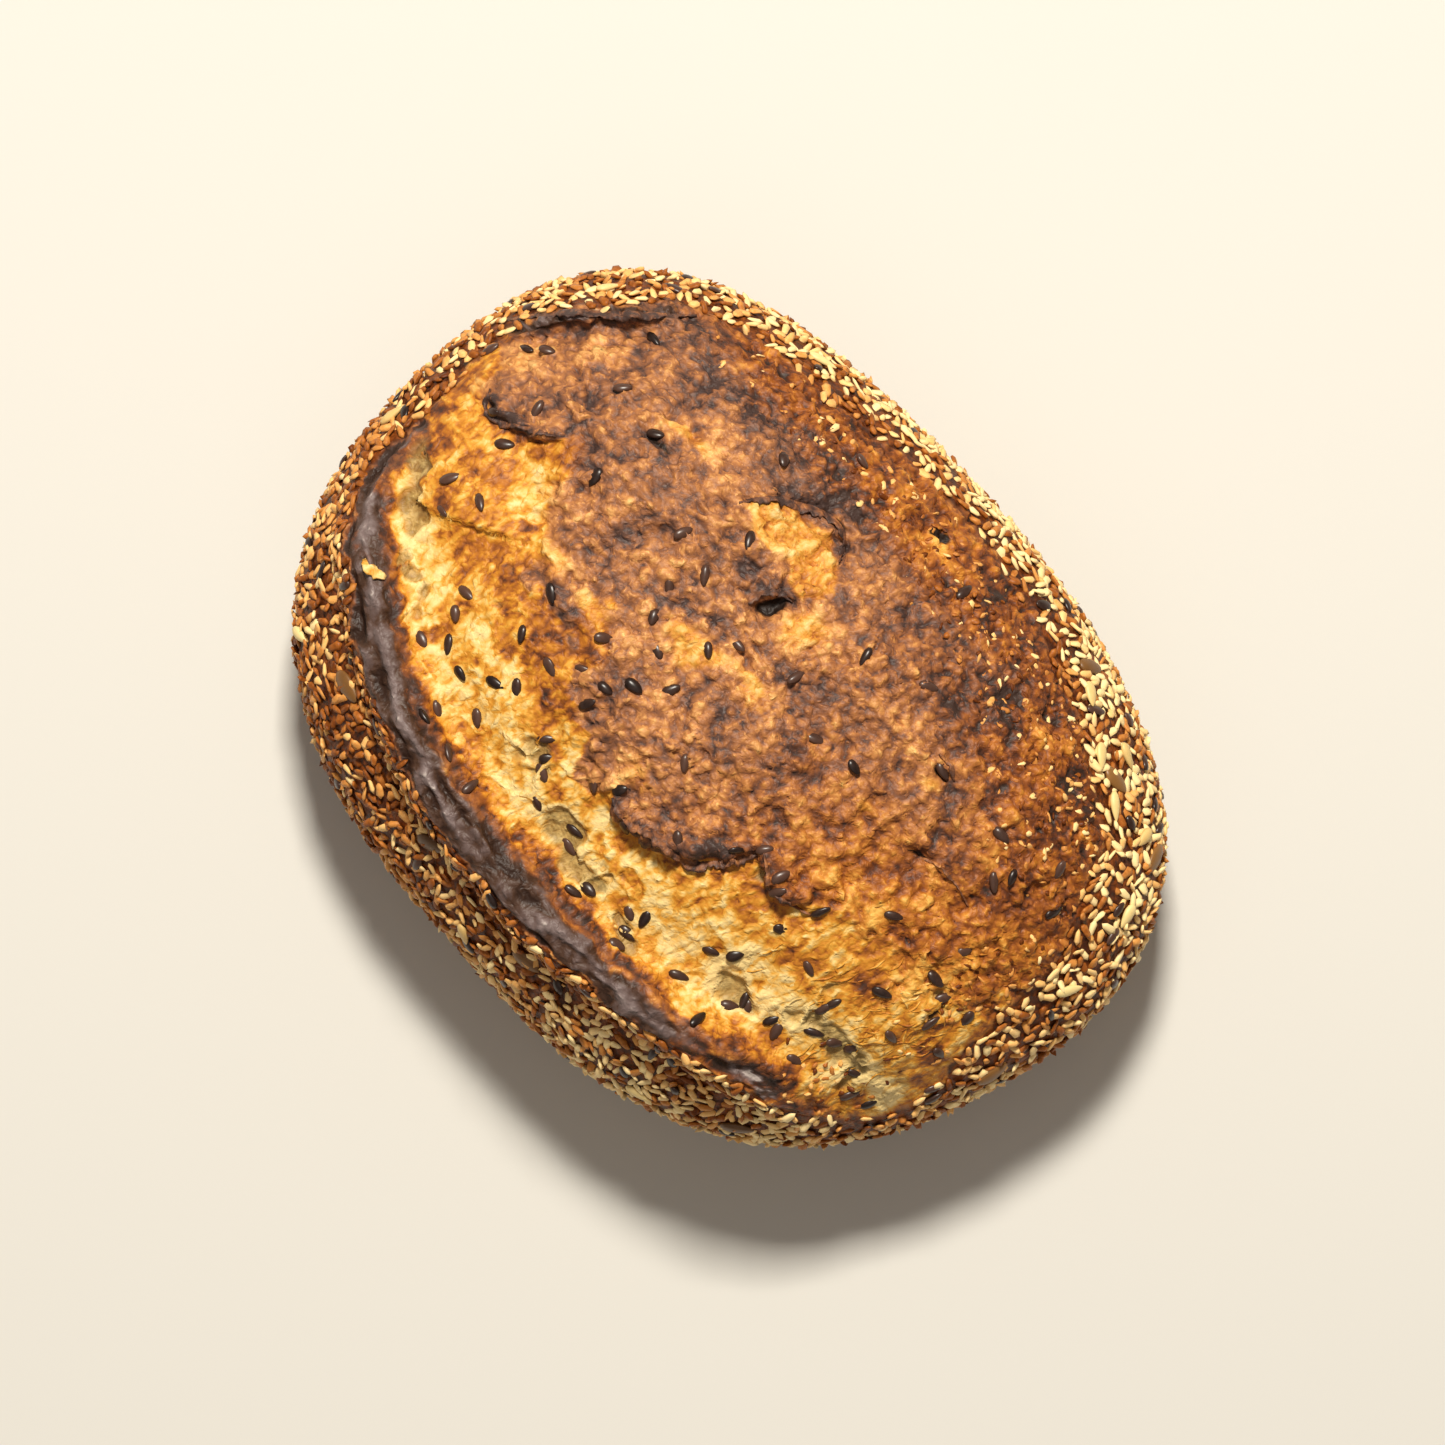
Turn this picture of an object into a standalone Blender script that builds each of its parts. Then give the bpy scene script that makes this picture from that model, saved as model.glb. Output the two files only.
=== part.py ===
"""A seeded sourdough loaf: an oval country loaf that was rolled in seeds, slashed once along one side
and baked dark. The crust opened wide at the slash, so one edge stands up as a long burnt ear, and the
bare dome beside it is torn and blistered. The loaf and its seeds are one closed solid.

+X is the long way of the loaf, +Z is up, and it rests on Z = 0. Sizes are in metres."""

import math

import bmesh
import bpy
import numpy as np
from mathutils import Matrix
from mathutils.bvhtree import BVHTree

# The bare loaf. An oval power of 2 gives an ellipse, and more gives a squarer oval.
HALF_LENGTH = 0.1113
HALF_WIDTH = 0.0850
HEIGHT = 0.0905
WAIST = 0.037
OVAL_POWER = 2.5
CROWN_ROUND = 2.25
CROWN_RISE = 2.05
SIDE_ROUND = 3.5
SIDE_DROP = 2.3
BASE_SINK = 0.0055
LOBES = ((1, 0.0007, 105), (2, 0.0025, 39), (3, 0.0019, 31), (5, 0.0010, 17))
MESH_LEVEL = 6
TOP_CROWDING = 0.32
BARE_TRIANGLES = 5100
BASE_TRUE = 0.00002

# The bare dome where the crust opened: the oval that the seeded coat leaves free.
OPENING_CENTRE = (-0.002, 0.004)
OPENING_HALF = (0.106, 0.0705)
OPENING_SWELL = 0.0016
OPENING_EDGE = 0.005

# The ear: its line along the loaf, and its section as (way towards the dome, rise) pairs.
EAR_LINE = (
    (-0.1025, -0.010), (-0.0965, -0.0325), (-0.076, -0.0475), (-0.052, -0.0585),
    (-0.026, -0.0640), (0.004, -0.0645), (0.031, -0.0608), (0.057, -0.0530),
    (0.080, -0.0450), (0.0965, -0.0365),
)
EAR_SECTION = (
    (-0.0150, 0.0), (-0.0078, 0.0002), (-0.0058, 0.0030), (-0.0042, 0.0066), (-0.0018, 0.0080),
    (0.0014, 0.0074), (0.0042, 0.0046), (0.0066, 0.0004), (0.0100, -0.0038), (0.0160, -0.0056),
    (0.0260, -0.0040), (0.0400, -0.0008), (0.0500, 0.0),
)
EAR_LEAN = 0.0020
EAR_FADE = 0.24
EAR_WAVES = ((2.3, 0.08, 0.4), (5.1, 0.07, 1.9), (11.7, 0.05, 0.7))

# The lip: the far end's shorter torn edge, whose section is read the same way.
LIP_LINE = ((-0.1075, 0.014), (-0.1005, 0.0285), (-0.0915, 0.0425), (-0.0790, 0.0580))
LIP_SECTION = (
    (-0.0120, 0.0), (-0.0080, 0.0016), (-0.0040, 0.0045), (-0.0010, 0.0052), (0.0015, 0.0022),
    (0.0032, -0.0022), (0.0065, -0.0026), (0.0140, 0.0),
)
LIP_FADE = 0.30

# The ledge: the torn edge of the brown crust, which stands over the pale crumb beside the ear.
LEDGE_LINE = (
    (-0.1010, 0.0170), (-0.0930, 0.0030), (-0.0840, 0.0075), (-0.0760, 0.0105), (-0.0660, 0.0000),
    (-0.0560, -0.0110), (-0.0400, -0.0150), (-0.0240, -0.0200), (-0.0110, -0.0290),
    (0.0030, -0.0335), (0.0190, -0.0300), (0.0270, -0.0200), (0.0320, -0.0120),
    (0.0420, -0.0160), (0.0580, -0.0080), (0.0760, 0.0020), (0.0920, 0.0040),
)
LEDGE_SECTION = ((-0.0080, 0.0), (-0.0010, -0.0006), (0.0018, 0.0024), (0.0050, 0.0021), (0.0200, 0.0))
LEDGE_FADE = 0.06

# Hollows and swellings of the dome: X, Y, half length, half width, turn in degrees, rise.
HOLLOWS = (
    (-0.0200, 0.0435, 0.0130, 0.0085, 20, -0.0022),
    (-0.0710, -0.0030, 0.0120, 0.0060, -30, -0.0024),
    (-0.0134, 0.0265, 0.0050, 0.0030, 60, -0.0030),
    (-0.0010, 0.0670, 0.0060, 0.0040, 10, -0.0016),
    (0.0600, 0.0130, 0.0130, 0.0050, 15, -0.0014),
    (0.0870, -0.0300, 0.0090, 0.0070, 30, -0.0022),
    (-0.0450, 0.0250, 0.0260, 0.0140, 10, 0.0020),
    (0.0250, 0.0350, 0.0300, 0.0160, -8, 0.0016),
    (0.0080, 0.0000, 0.0180, 0.0120, 25, 0.0022),
    (0.0700, 0.0400, 0.0180, 0.0120, -30, 0.0014),
    (-0.0300, -0.0400, 0.0220, 0.0060, -10, 0.0012),
)
BLISTER_COUNT = 70
BLISTER_REACH = (0.0045, 0.0100)
BLISTER_RISE = (-0.0009, 0.0014)

# Seeds as (length, width, thickness). The rest are spread by rule, with the big kernels first.
SESAME = (0.0031, 0.0019, 0.0012)
FLAX = (0.0050, 0.0025, 0.0015)
SUNFLOWER = (0.0074, 0.0034, 0.0022)
PUMPKIN = (0.0100, 0.0056, 0.0026)
SEED_SIDES = 5
SEED_RINGS = 3
SEED_RISE = 0.05
DOME_FLAX_COUNT = 52
DOME_FLAX_SPACING = 0.0085
COAT_SEEDS = (
    ("pumpkin", PUMPKIN, 5), ("sunflower", SUNFLOWER, 12), ("flax", FLAX, 20), ("sesame", SESAME, 82),
)
COAT_SPACING = 0.0088
COAT_LOW = 0.010
COAT_GAP = 0.004
RANDOM_SEED = 41


def smooth_step(low, high, value):
    """0 below low, 1 above high, and an even S between them."""
    share = np.clip((value - low) / (high - low), 0.0, 1.0)
    return share * share * (3.0 - 2.0 * share)


def curve_through(points, steps=6):
    """Points along a smooth curve that passes through the given ones."""
    given = np.array(points, float)
    ends = np.vstack([2 * given[0] - given[1], given, 2 * given[-1] - given[-2]])
    share = (np.arange(steps) / steps)[:, None]
    curve = []
    for before, start, end, after in zip(ends, ends[1:], ends[2:], ends[3:]):
        bend = 2 * before - 5 * start + 4 * end - after
        twist = 3 * (start - end) + after - before
        curve.append(start + 0.5 * share * (end - before + share * (bend + share * twist)))
    return np.vstack(curve + [given[-1:]])


def line_distance(x, y, line):
    """The distance of each place from a line, positive on the line's left, and its share of the way."""
    points = curve_through(line)
    run_x, run_y = np.diff(points[:, 0]), np.diff(points[:, 1])
    gap_x = x[:, None] - points[:-1, 0]
    gap_y = y[:, None] - points[:-1, 1]
    along = np.clip((gap_x * run_x + gap_y * run_y) / (run_x**2 + run_y**2), 0.0, 1.0)
    distance = np.hypot(gap_x - along * run_x, gap_y - along * run_y)
    near = np.argmin(distance, axis=1)
    rows = np.arange(len(x))
    side = np.sign(run_x * gap_y - run_y * gap_x)[rows, near]
    return side * distance[rows, near], (near + along[rows, near]) / len(run_x)


def section_rise(distance, share, section, fade):
    """How far a line's section lifts each place, dying away at both ends of the line."""
    shape = curve_through(section, 5)
    ends = smooth_step(0.0, fade, share) * smooth_step(0.0, fade, 1.0 - share)
    return ends * np.interp(distance, shape[:, 0], shape[:, 1])


def ear_unevenness(share):
    """How much taller or lower than its section the ear is, along its way."""
    waves = [swell * np.sin(2 * math.pi * turns * share + start) for turns, swell, start in EAR_WAVES]
    return 1 + sum(waves)


def outline_radius(angle):
    """How far the widest girth is from the middle, at each angle round the loaf."""
    long_way = np.abs(np.cos(angle)) / HALF_LENGTH
    cross_way = np.abs(np.sin(angle)) / HALF_WIDTH
    radius = (long_way**OVAL_POWER + cross_way**OVAL_POWER) ** (-1 / OVAL_POWER)
    for order, swell, peak in LOBES:
        radius = radius + swell * np.cos(order * (angle - math.radians(peak)))
    return radius


def bare_loaf(ways):
    """The smooth loaf's surface in each direction of a unit sphere, flat where it rests."""
    angle = np.arctan2(ways[:, 1], ways[:, 0])
    up = ways[:, 2]
    level = np.sqrt(np.clip(1 - up**2, 0.0, 1.0))
    upper = up >= 0
    reach = outline_radius(angle) * level ** np.where(upper, 2 / CROWN_ROUND, 2 / SIDE_ROUND)
    crown = WAIST + (HEIGHT - WAIST) * np.abs(up) ** (2 / CROWN_RISE)
    side = WAIST - (WAIST + BASE_SINK) * np.abs(up) ** (2 / SIDE_DROP)
    height = np.where(upper, crown, np.maximum(side, 0.0))
    return np.stack([reach * np.cos(angle), reach * np.sin(angle), height], axis=1)


def opening_depth(x, y):
    """Metres inside the oval that the seeded coat leaves free, negative outside it."""
    across = (x - OPENING_CENTRE[0]) / OPENING_HALF[0]
    upward = (y - OPENING_CENTRE[1]) / OPENING_HALF[1]
    return (1 - (np.abs(across) ** 2.4 + np.abs(upward) ** 2.4) ** (1 / 2.4)) * OPENING_HALF[1]


def hollow_rise(x, y):
    """The named hollows and swellings of the dome."""
    rise = np.zeros_like(x)
    for centre_x, centre_y, half_length, half_width, turn, height in HOLLOWS:
        cosine, sine = math.cos(math.radians(turn)), math.sin(math.radians(turn))
        along = ((x - centre_x) * cosine + (y - centre_y) * sine) / half_length
        across = ((y - centre_y) * cosine - (x - centre_x) * sine) / half_width
        rise += height * np.exp(-(along**2 + across**2) ** 1.5)
    return rise


def blister_rise(x, y):
    """Small uneven swellings spread over the whole top by a seeded rule."""
    rng = np.random.default_rng(RANDOM_SEED)
    rise = np.zeros_like(x)
    for _ in range(BLISTER_COUNT):
        angle, out = rng.uniform(0, 2 * math.pi), math.sqrt(rng.uniform(0, 1))
        centre_x = out * 0.9 * HALF_LENGTH * math.cos(angle)
        centre_y = out * 0.9 * HALF_WIDTH * math.sin(angle)
        reach, height = rng.uniform(*BLISTER_REACH), rng.uniform(*BLISTER_RISE)
        rise += height * np.exp(-((x - centre_x) ** 2 + (y - centre_y) ** 2) / reach**2)
    return rise


def loaf_form(ways):
    """The whole loaf's surface: the bare loaf with its ear, lip, ledge, hollows and blisters."""
    points = bare_loaf(ways)
    x, y = points[:, 0].copy(), points[:, 1].copy()
    on_top = smooth_step(0.08, 0.34, ways[:, 2])
    ear_gap, ear_share = line_distance(x, y, EAR_LINE)
    lip_gap, lip_share = line_distance(x, y, LIP_LINE)
    ledge_gap, ledge_share = line_distance(x, y, LEDGE_LINE)
    open_here = smooth_step(0.0, OPENING_EDGE, opening_depth(x, y)) * smooth_step(0.0, OPENING_EDGE, ear_gap)
    ear = section_rise(ear_gap, ear_share, EAR_SECTION, EAR_FADE) * ear_unevenness(ear_share)
    rise = ear + OPENING_SWELL * open_here + section_rise(-lip_gap, lip_share, LIP_SECTION, LIP_FADE)
    rise += section_rise(ledge_gap, ledge_share, LEDGE_SECTION, LEDGE_FADE)
    rise += hollow_rise(x, y) + blister_rise(x, y)
    points[:, 2] += on_top * rise
    out = np.hypot(x, y) + 1e-9
    crest = max(lift for _, lift in EAR_SECTION)
    lean = EAR_LEAN * on_top * np.clip(ear / crest, 0.0, 1.0)
    points[:, 0] += lean * x / out
    points[:, 1] += lean * y / out
    return points


def principled(name, colour, roughness):
    """A plain material of one colour."""
    material = bpy.data.materials.new(name)
    material.use_nodes = True
    shader = material.node_tree.nodes["Principled BSDF"]
    shader.inputs["Base Color"].default_value = (*colour, 1.0)
    shader.inputs["Roughness"].default_value = roughness
    shader.inputs["Metallic"].default_value = 0.0
    material.diffuse_color = (*colour, 1.0)
    return material


def flatten_base(shape):
    """One flat face under the loaf in place of many small ones."""
    flat = [face for face in shape.faces if max(vertex.co.z for vertex in face.verts) < 1e-6]
    bmesh.ops.dissolve_faces(shape, faces=flat)
    bmesh.ops.triangulate(shape, faces=[face for face in shape.faces if len(face.verts) > 3])


def crowded_upward(ways):
    """The same directions drawn towards the top, where the crust has its relief."""
    fall = np.arccos(np.clip(ways[:, 2], -1.0, 1.0))
    moved = fall - TOP_CROWDING * np.sin(fall)
    level = np.sin(moved) / np.maximum(np.sin(fall), 1e-9)
    return np.stack([ways[:, 0] * level, ways[:, 1] * level, np.cos(moved)], axis=1)


def apply_modifiers(thing):
    """Gives an object its modified mesh and removes the modifiers."""
    bpy.context.view_layer.update()
    graph = bpy.context.evaluated_depsgraph_get()
    thing.data = bpy.data.meshes.new_from_object(thing.evaluated_get(graph))
    thing.modifiers.clear()


def make_loaf(collection):
    """The loaf without its seeds, with most faces where its relief is."""
    shape = bmesh.new()
    bmesh.ops.create_icosphere(shape, subdivisions=MESH_LEVEL, radius=1.0)
    ways = crowded_upward(np.array([vertex.co.normalized() for vertex in shape.verts]))
    for vertex, place in zip(shape.verts, loaf_form(ways)):
        vertex.co = place
    flatten_base(shape)
    bmesh.ops.recalc_face_normals(shape, faces=shape.faces[:])
    mesh = bpy.data.meshes.new("loaf")
    shape.to_mesh(mesh)
    shape.free()
    mesh.materials.append(principled("crust", (0.30, 0.125, 0.045), 0.62))
    loaf = bpy.data.objects.new("loaf", mesh)
    collection.objects.link(loaf)
    fewer = loaf.modifiers.new("fewer faces", "DECIMATE")
    fewer.ratio = BARE_TRIANGLES / len(mesh.polygons)
    apply_modifiers(loaf)
    for vertex in loaf.data.vertices:
        if vertex.co.z < BASE_TRUE:
            vertex.co.z = 0.0
    return loaf


def seed_mesh(name, size, colour):
    """A seed: a flattened ball that narrows to one tip."""
    length, width, thickness = size
    shape = bmesh.new()
    bmesh.ops.create_uvsphere(shape, u_segments=SEED_SIDES, v_segments=SEED_RINGS, radius=0.5)
    for vertex in shape.verts:
        taper = 1.0 - 0.45 * vertex.co.z
        vertex.co = (vertex.co.z * length, vertex.co.x * width * taper, vertex.co.y * thickness * taper)
    bmesh.ops.recalc_face_normals(shape, faces=shape.faces[:])
    mesh = bpy.data.meshes.new(name)
    shape.to_mesh(mesh)
    shape.free()
    mesh.materials.append(principled(name, colour, 0.45))
    return mesh


def spots(loaf, count, spacing, allowed, taken, rng):
    """Evenly spread places on the loaf: random ones that keep their distance from all that are taken."""
    mesh = loaf.data
    areas = np.array([face.area for face in mesh.polygons])
    faces = rng.choice(len(areas), size=60 * count + 4000, p=areas / areas.sum())
    found = []
    for index in faces:
        corners = [mesh.vertices[v].co for v in mesh.polygons[index].vertices]
        first, second = sorted(rng.uniform(0, 1, 2))
        place = corners[0] * first + corners[1] * (second - first) + corners[2] * (1 - second)
        if not allowed(place) or any((place - other).length < spacing for other in taken):
            continue
        taken.append(place)
        found.append(place)
        if len(found) == count:
            break
    return found


def mesh_sides(mesh):
    """The three sides of a mesh's box."""
    corners = np.array([vertex.co for vertex in mesh.vertices])
    return corners.max(axis=0) - corners.min(axis=0)


def lay_seeds(mesh, places, tree, rng, collection):
    """One seed at each place, flat on the crust, turned any way and partly sunk in it."""
    thickness = min(mesh_sides(mesh))
    for number, place in enumerate(places):
        spot, normal, _, _ = tree.find_nearest(place)
        turn = Matrix.Rotation(rng.uniform(0, 2 * math.pi), 4, "Z")
        tip = Matrix.Rotation(rng.uniform(-0.12, 0.12), 4, "Y")
        size = Matrix.Scale(rng.uniform(0.92, 1.08), 4)
        upright = normal.to_track_quat("Z", "Y").to_matrix().to_4x4()
        seed = bpy.data.objects.new(f"{mesh.name}_{number}", mesh)
        centre = Matrix.Translation(spot + normal * SEED_RISE * thickness)
        seed.matrix_world = centre @ upright @ turn @ tip @ size
        collection.objects.link(seed)


def on_dome(place):
    """Whether a place is on the bare dome or the pale crumb, clear of the ear."""
    x, y = np.array([place.x]), np.array([place.y])
    ear_gap, _ = line_distance(x, y, EAR_LINE)
    return bool(place.z > WAIST and opening_depth(x, y)[0] > COAT_GAP and ear_gap[0] > 0.008)


def on_coat(place):
    """Whether a place is on the seeded coat, clear of the ear, the lip and the base."""
    x, y = np.array([place.x]), np.array([place.y])
    ear_gap, _ = line_distance(x, y, EAR_LINE)
    lip_gap, _ = line_distance(x, y, LIP_LINE)
    if place.z < COAT_LOW or abs(lip_gap[0]) < 0.005:
        return False
    return bool(place.z < WAIST or opening_depth(x, y)[0] < -COAT_GAP or ear_gap[0] < -0.0085)


def fuse(loaf, seeds):
    """Joins the seeds to the loaf as one solid, then removes them and their collection."""
    union = loaf.modifiers.new("seeds", "BOOLEAN")
    union.operation = "UNION"
    union.solver = "EXACT"
    union.operand_type = "COLLECTION"
    union.collection = seeds
    union.material_mode = "TRANSFER"
    apply_modifiers(loaf)
    for seed in list(seeds.objects):
        bpy.data.objects.remove(seed)
    bpy.data.collections.remove(seeds)


def build():
    """The whole object in its own collection."""
    for thing in list(bpy.data.objects):
        bpy.data.objects.remove(thing)
    parts = bpy.data.collections.new("seeded_sourdough_loaf")
    bpy.context.scene.collection.children.link(parts)
    loaf = make_loaf(parts)
    tree = BVHTree.FromPolygons(
        [vertex.co for vertex in loaf.data.vertices], [face.vertices for face in loaf.data.polygons]
    )
    seeds = bpy.data.collections.new("seeds")
    bpy.context.scene.collection.children.link(seeds)
    rng = np.random.default_rng(RANDOM_SEED)
    colours = {
        "pumpkin": (0.20, 0.17, 0.06),
        "sunflower": (0.56, 0.42, 0.20),
        "flax": (0.045, 0.022, 0.014),
        "sesame": (0.72, 0.46, 0.19),
    }
    taken = []
    for name, size, count in COAT_SEEDS:
        places = spots(loaf, count, COAT_SPACING, on_coat, taken, rng)
        lay_seeds(seed_mesh(name, size, colours[name]), places, tree, rng, seeds)
    dome_places = spots(loaf, DOME_FLAX_COUNT, DOME_FLAX_SPACING, on_dome, taken, rng)
    lay_seeds(seed_mesh("dome_flax", FLAX, colours["flax"]), dome_places, tree, rng, seeds)
    fuse(loaf, seeds)
    loaf.data.shade_smooth()
    loaf.data.set_sharp_from_angle(angle=math.radians(50))


build()
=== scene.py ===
import math

import bmesh
import bpy
import numpy as np
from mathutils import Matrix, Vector
from mathutils.bvhtree import BVHTree


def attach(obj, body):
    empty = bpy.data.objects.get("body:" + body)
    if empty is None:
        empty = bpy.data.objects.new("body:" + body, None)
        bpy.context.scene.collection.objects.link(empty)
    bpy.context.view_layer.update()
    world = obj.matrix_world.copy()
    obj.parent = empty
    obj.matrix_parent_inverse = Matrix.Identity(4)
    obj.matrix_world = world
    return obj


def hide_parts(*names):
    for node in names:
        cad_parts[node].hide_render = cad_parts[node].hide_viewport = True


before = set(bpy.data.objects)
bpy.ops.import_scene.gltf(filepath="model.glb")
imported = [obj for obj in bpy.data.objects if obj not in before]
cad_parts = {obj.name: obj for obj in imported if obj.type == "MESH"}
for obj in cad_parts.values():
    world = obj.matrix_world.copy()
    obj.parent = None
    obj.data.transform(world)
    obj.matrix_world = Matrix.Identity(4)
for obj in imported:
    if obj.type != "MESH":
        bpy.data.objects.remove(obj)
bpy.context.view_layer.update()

# The camera looks straight down, from far enough off that the loaf is drawn almost without
# perspective, and is rolled so that the loaf lies from the picture's upper left to its lower right.
PICTURE_PIXELS = 1445
PIXELS_PER_METRE = 4100
PICTURE_MIDDLE = (0.00055, -0.00030)
LONG_WAY_ANGLE = math.radians(-51)
CAMERA_HEIGHT = 2.6
WIDEST_HEIGHT = 0.037
SENSOR_WIDTH = 36.0

camera_data = bpy.data.cameras.new("overhead")
camera_data.sensor_width = SENSOR_WIDTH
picture_width = PICTURE_PIXELS / PIXELS_PER_METRE
camera_data.lens = SENSOR_WIDTH * (CAMERA_HEIGHT - WIDEST_HEIGHT) / picture_width
camera_data.clip_end = 10.0
camera = bpy.data.objects.new("overhead", camera_data)
camera.location = (*PICTURE_MIDDLE, CAMERA_HEIGHT)
camera.rotation_euler = (0.0, 0.0, -LONG_WAY_ANGLE)
bpy.context.scene.collection.objects.link(camera)
bpy.context.scene.camera = camera


# A plain pale floor, one broad soft lamp from the loaf's far left and a weak wide one overhead. The
# lamps stand where the shadow beside the loaf says that the light came from.
FLOOR_SIZE = 6.0
FLOOR_COLOUR = (0.64, 0.63, 0.60, 1.0)
FLOOR_ROUGHNESS = 0.9
KEY_PLACE = (-0.74, 0.62, 1.78)
KEY_SIZE = 0.30
KEY_POWER = 56.0
KEY_COLOUR = (1.0, 0.94, 0.83)
FILL_PLACE = (0.5, -0.7, 1.9)
FILL_SIZE = 2.0
FILL_POWER = 4.0
FILL_COLOUR = (1.0, 0.95, 0.88)
LAMP_AIM = Vector((0.0, 0.0, 0.04))
SKY_COLOUR = (1.0, 0.88, 0.75, 1.0)
SKY_STRENGTH = 0.22


def add_lamp(name, place, size, power, colour):
    """A square soft lamp that points at the loaf."""
    lamp = bpy.data.lights.new(name, "AREA")
    lamp.size = size
    lamp.energy = power
    lamp.color = colour
    holder = bpy.data.objects.new(name, lamp)
    holder.location = place
    holder.rotation_euler = (LAMP_AIM - Vector(place)).to_track_quat("-Z", "Y").to_euler()
    bpy.context.scene.collection.objects.link(holder)


add_lamp("key", KEY_PLACE, KEY_SIZE, KEY_POWER, KEY_COLOUR)
add_lamp("fill", FILL_PLACE, FILL_SIZE, FILL_POWER, FILL_COLOUR)
world = bpy.data.worlds.new("studio")
world.use_nodes = True
sky = world.node_tree.nodes["Background"]
sky.inputs["Color"].default_value = SKY_COLOUR
sky.inputs["Strength"].default_value = SKY_STRENGTH
bpy.context.scene.world = world
bpy.context.scene.view_settings.view_transform = "Standard"

floor_shape = bmesh.new()
bmesh.ops.create_grid(floor_shape, x_segments=1, y_segments=1, size=FLOOR_SIZE / 2)
floor_mesh = bpy.data.meshes.new("floor")
floor_shape.to_mesh(floor_mesh)
floor_shape.free()
floor = bpy.data.objects.new("floor", floor_mesh)
bpy.context.scene.collection.objects.link(floor)
paper = bpy.data.materials.new("pale_paper")
paper.use_nodes = True
paper_shader = paper.node_tree.nodes["Principled BSDF"]
paper_shader.inputs["Base Color"].default_value = FLOOR_COLOUR
paper_shader.inputs["Roughness"].default_value = FLOOR_ROUGHNESS
floor_mesh.materials.append(paper)


# The loaf itself: an oval of dough that rose and split along one slash. It has the solid's form, a
# rounded oval with an ear, a lip at the far end, a ledge of brown crust and hollows. It is made of
# a cube whose faces are cut fine and blown up to the loaf's shape.
HALF_LENGTH = 0.1113
HALF_WIDTH = 0.0850
HEIGHT = 0.0905
WAIST = 0.037
OVAL_POWER = 2.5
CROWN_ROUND = 2.25
CROWN_RISE = 2.05
SIDE_ROUND = 3.5
SIDE_DROP = 2.3
BASE_SINK = 0.0055
LOBES = ((1, 0.0007, 105), (2, 0.0025, 39), (3, 0.0019, 31), (5, 0.0010, 17))
TOP_CUTS = 259
SIDE_CUTS = 26
TOP_SHARE = 0.93
BASE_INSET = 0.10
OPENING_CENTRE = (-0.002, 0.004)
OPENING_HALF = (0.106, 0.0705)
OPENING_POWER = 2.4
OPENING_SWELL = 0.0016
OPENING_EDGE = 0.005
EAR_LINE = (
    (-0.1025, -0.010), (-0.0965, -0.0325), (-0.076, -0.0475), (-0.052, -0.0585),
    (-0.026, -0.0640), (0.004, -0.0645), (0.031, -0.0608), (0.057, -0.0530),
    (0.080, -0.0450), (0.0965, -0.0365),
)
EAR_SECTION = (
    (-0.0150, 0.0), (-0.0078, 0.0002), (-0.0058, 0.0030), (-0.0042, 0.0066), (-0.0018, 0.0080),
    (0.0014, 0.0074), (0.0042, 0.0046), (0.0066, 0.0004), (0.0100, -0.0038), (0.0160, -0.0056),
    (0.0260, -0.0040), (0.0400, -0.0008), (0.0500, 0.0),
)
EAR_LEAN = 0.0020
EAR_FADE = 0.24
EAR_WAVES = ((2.3, 0.08, 0.4), (5.1, 0.07, 1.9), (11.7, 0.05, 0.7))
LIP_LINE = ((-0.1075, 0.014), (-0.1005, 0.0285), (-0.0915, 0.0425), (-0.0790, 0.0580))
LIP_SECTION = (
    (-0.0120, 0.0), (-0.0080, 0.0016), (-0.0040, 0.0045), (-0.0010, 0.0052), (0.0015, 0.0022),
    (0.0032, -0.0022), (0.0065, -0.0026), (0.0140, 0.0),
)
LIP_FADE = 0.30
LEDGE_LINE = (
    (-0.1010, 0.0170), (-0.0930, 0.0030), (-0.0840, 0.0075), (-0.0760, 0.0105), (-0.0660, 0.0000),
    (-0.0560, -0.0110), (-0.0400, -0.0150), (-0.0240, -0.0200), (-0.0110, -0.0290),
    (0.0030, -0.0335), (0.0190, -0.0300), (0.0270, -0.0200), (0.0320, -0.0120),
    (0.0420, -0.0160), (0.0580, -0.0080), (0.0760, 0.0020), (0.0920, 0.0040),
)
LEDGE_SECTION = (
    (-0.0080, 0.0), (-0.0010, -0.0006), (0.0018, 0.0024), (0.0050, 0.0021), (0.0200, 0.0),
)
LEDGE_FADE = 0.06
HOLLOWS = (
    (-0.0200, 0.0435, 0.0130, 0.0085, 20, -0.0022),
    (-0.0710, -0.0030, 0.0120, 0.0060, -30, -0.0024),
    (-0.0134, 0.0265, 0.0050, 0.0030, 60, -0.0030),
    (-0.0010, 0.0670, 0.0060, 0.0040, 10, -0.0016),
    (0.0600, 0.0130, 0.0130, 0.0050, 15, -0.0014),
    (0.0870, -0.0300, 0.0090, 0.0070, 30, -0.0022),
    (-0.0450, 0.0250, 0.0260, 0.0140, 10, 0.0020),
    (0.0250, 0.0350, 0.0300, 0.0160, -8, 0.0016),
    (0.0080, 0.0000, 0.0180, 0.0120, 25, 0.0022),
    (0.0700, 0.0400, 0.0180, 0.0120, -30, 0.0014),
    (-0.0300, -0.0400, 0.0220, 0.0060, -10, 0.0012),
)
BLISTER_COUNT = 70
BLISTER_REACH = (0.0045, 0.0100)
BLISTER_RISE = (-0.0009, 0.0014)
BLISTER_SPREAD = 0.9
BLISTER_SEED = 41
TOP_FADE = (0.08, 0.34)
CLOUD_TABLE = 32
RAGGED_EDGES = ((0.0016, 0.0090), (0.0009, 0.0032))
SHARP_LEDGES = ((-0.086, 0.008, 0.004), (0.022, 0.021, 0.008))
SOFT_LEDGE = 0.35


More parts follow.
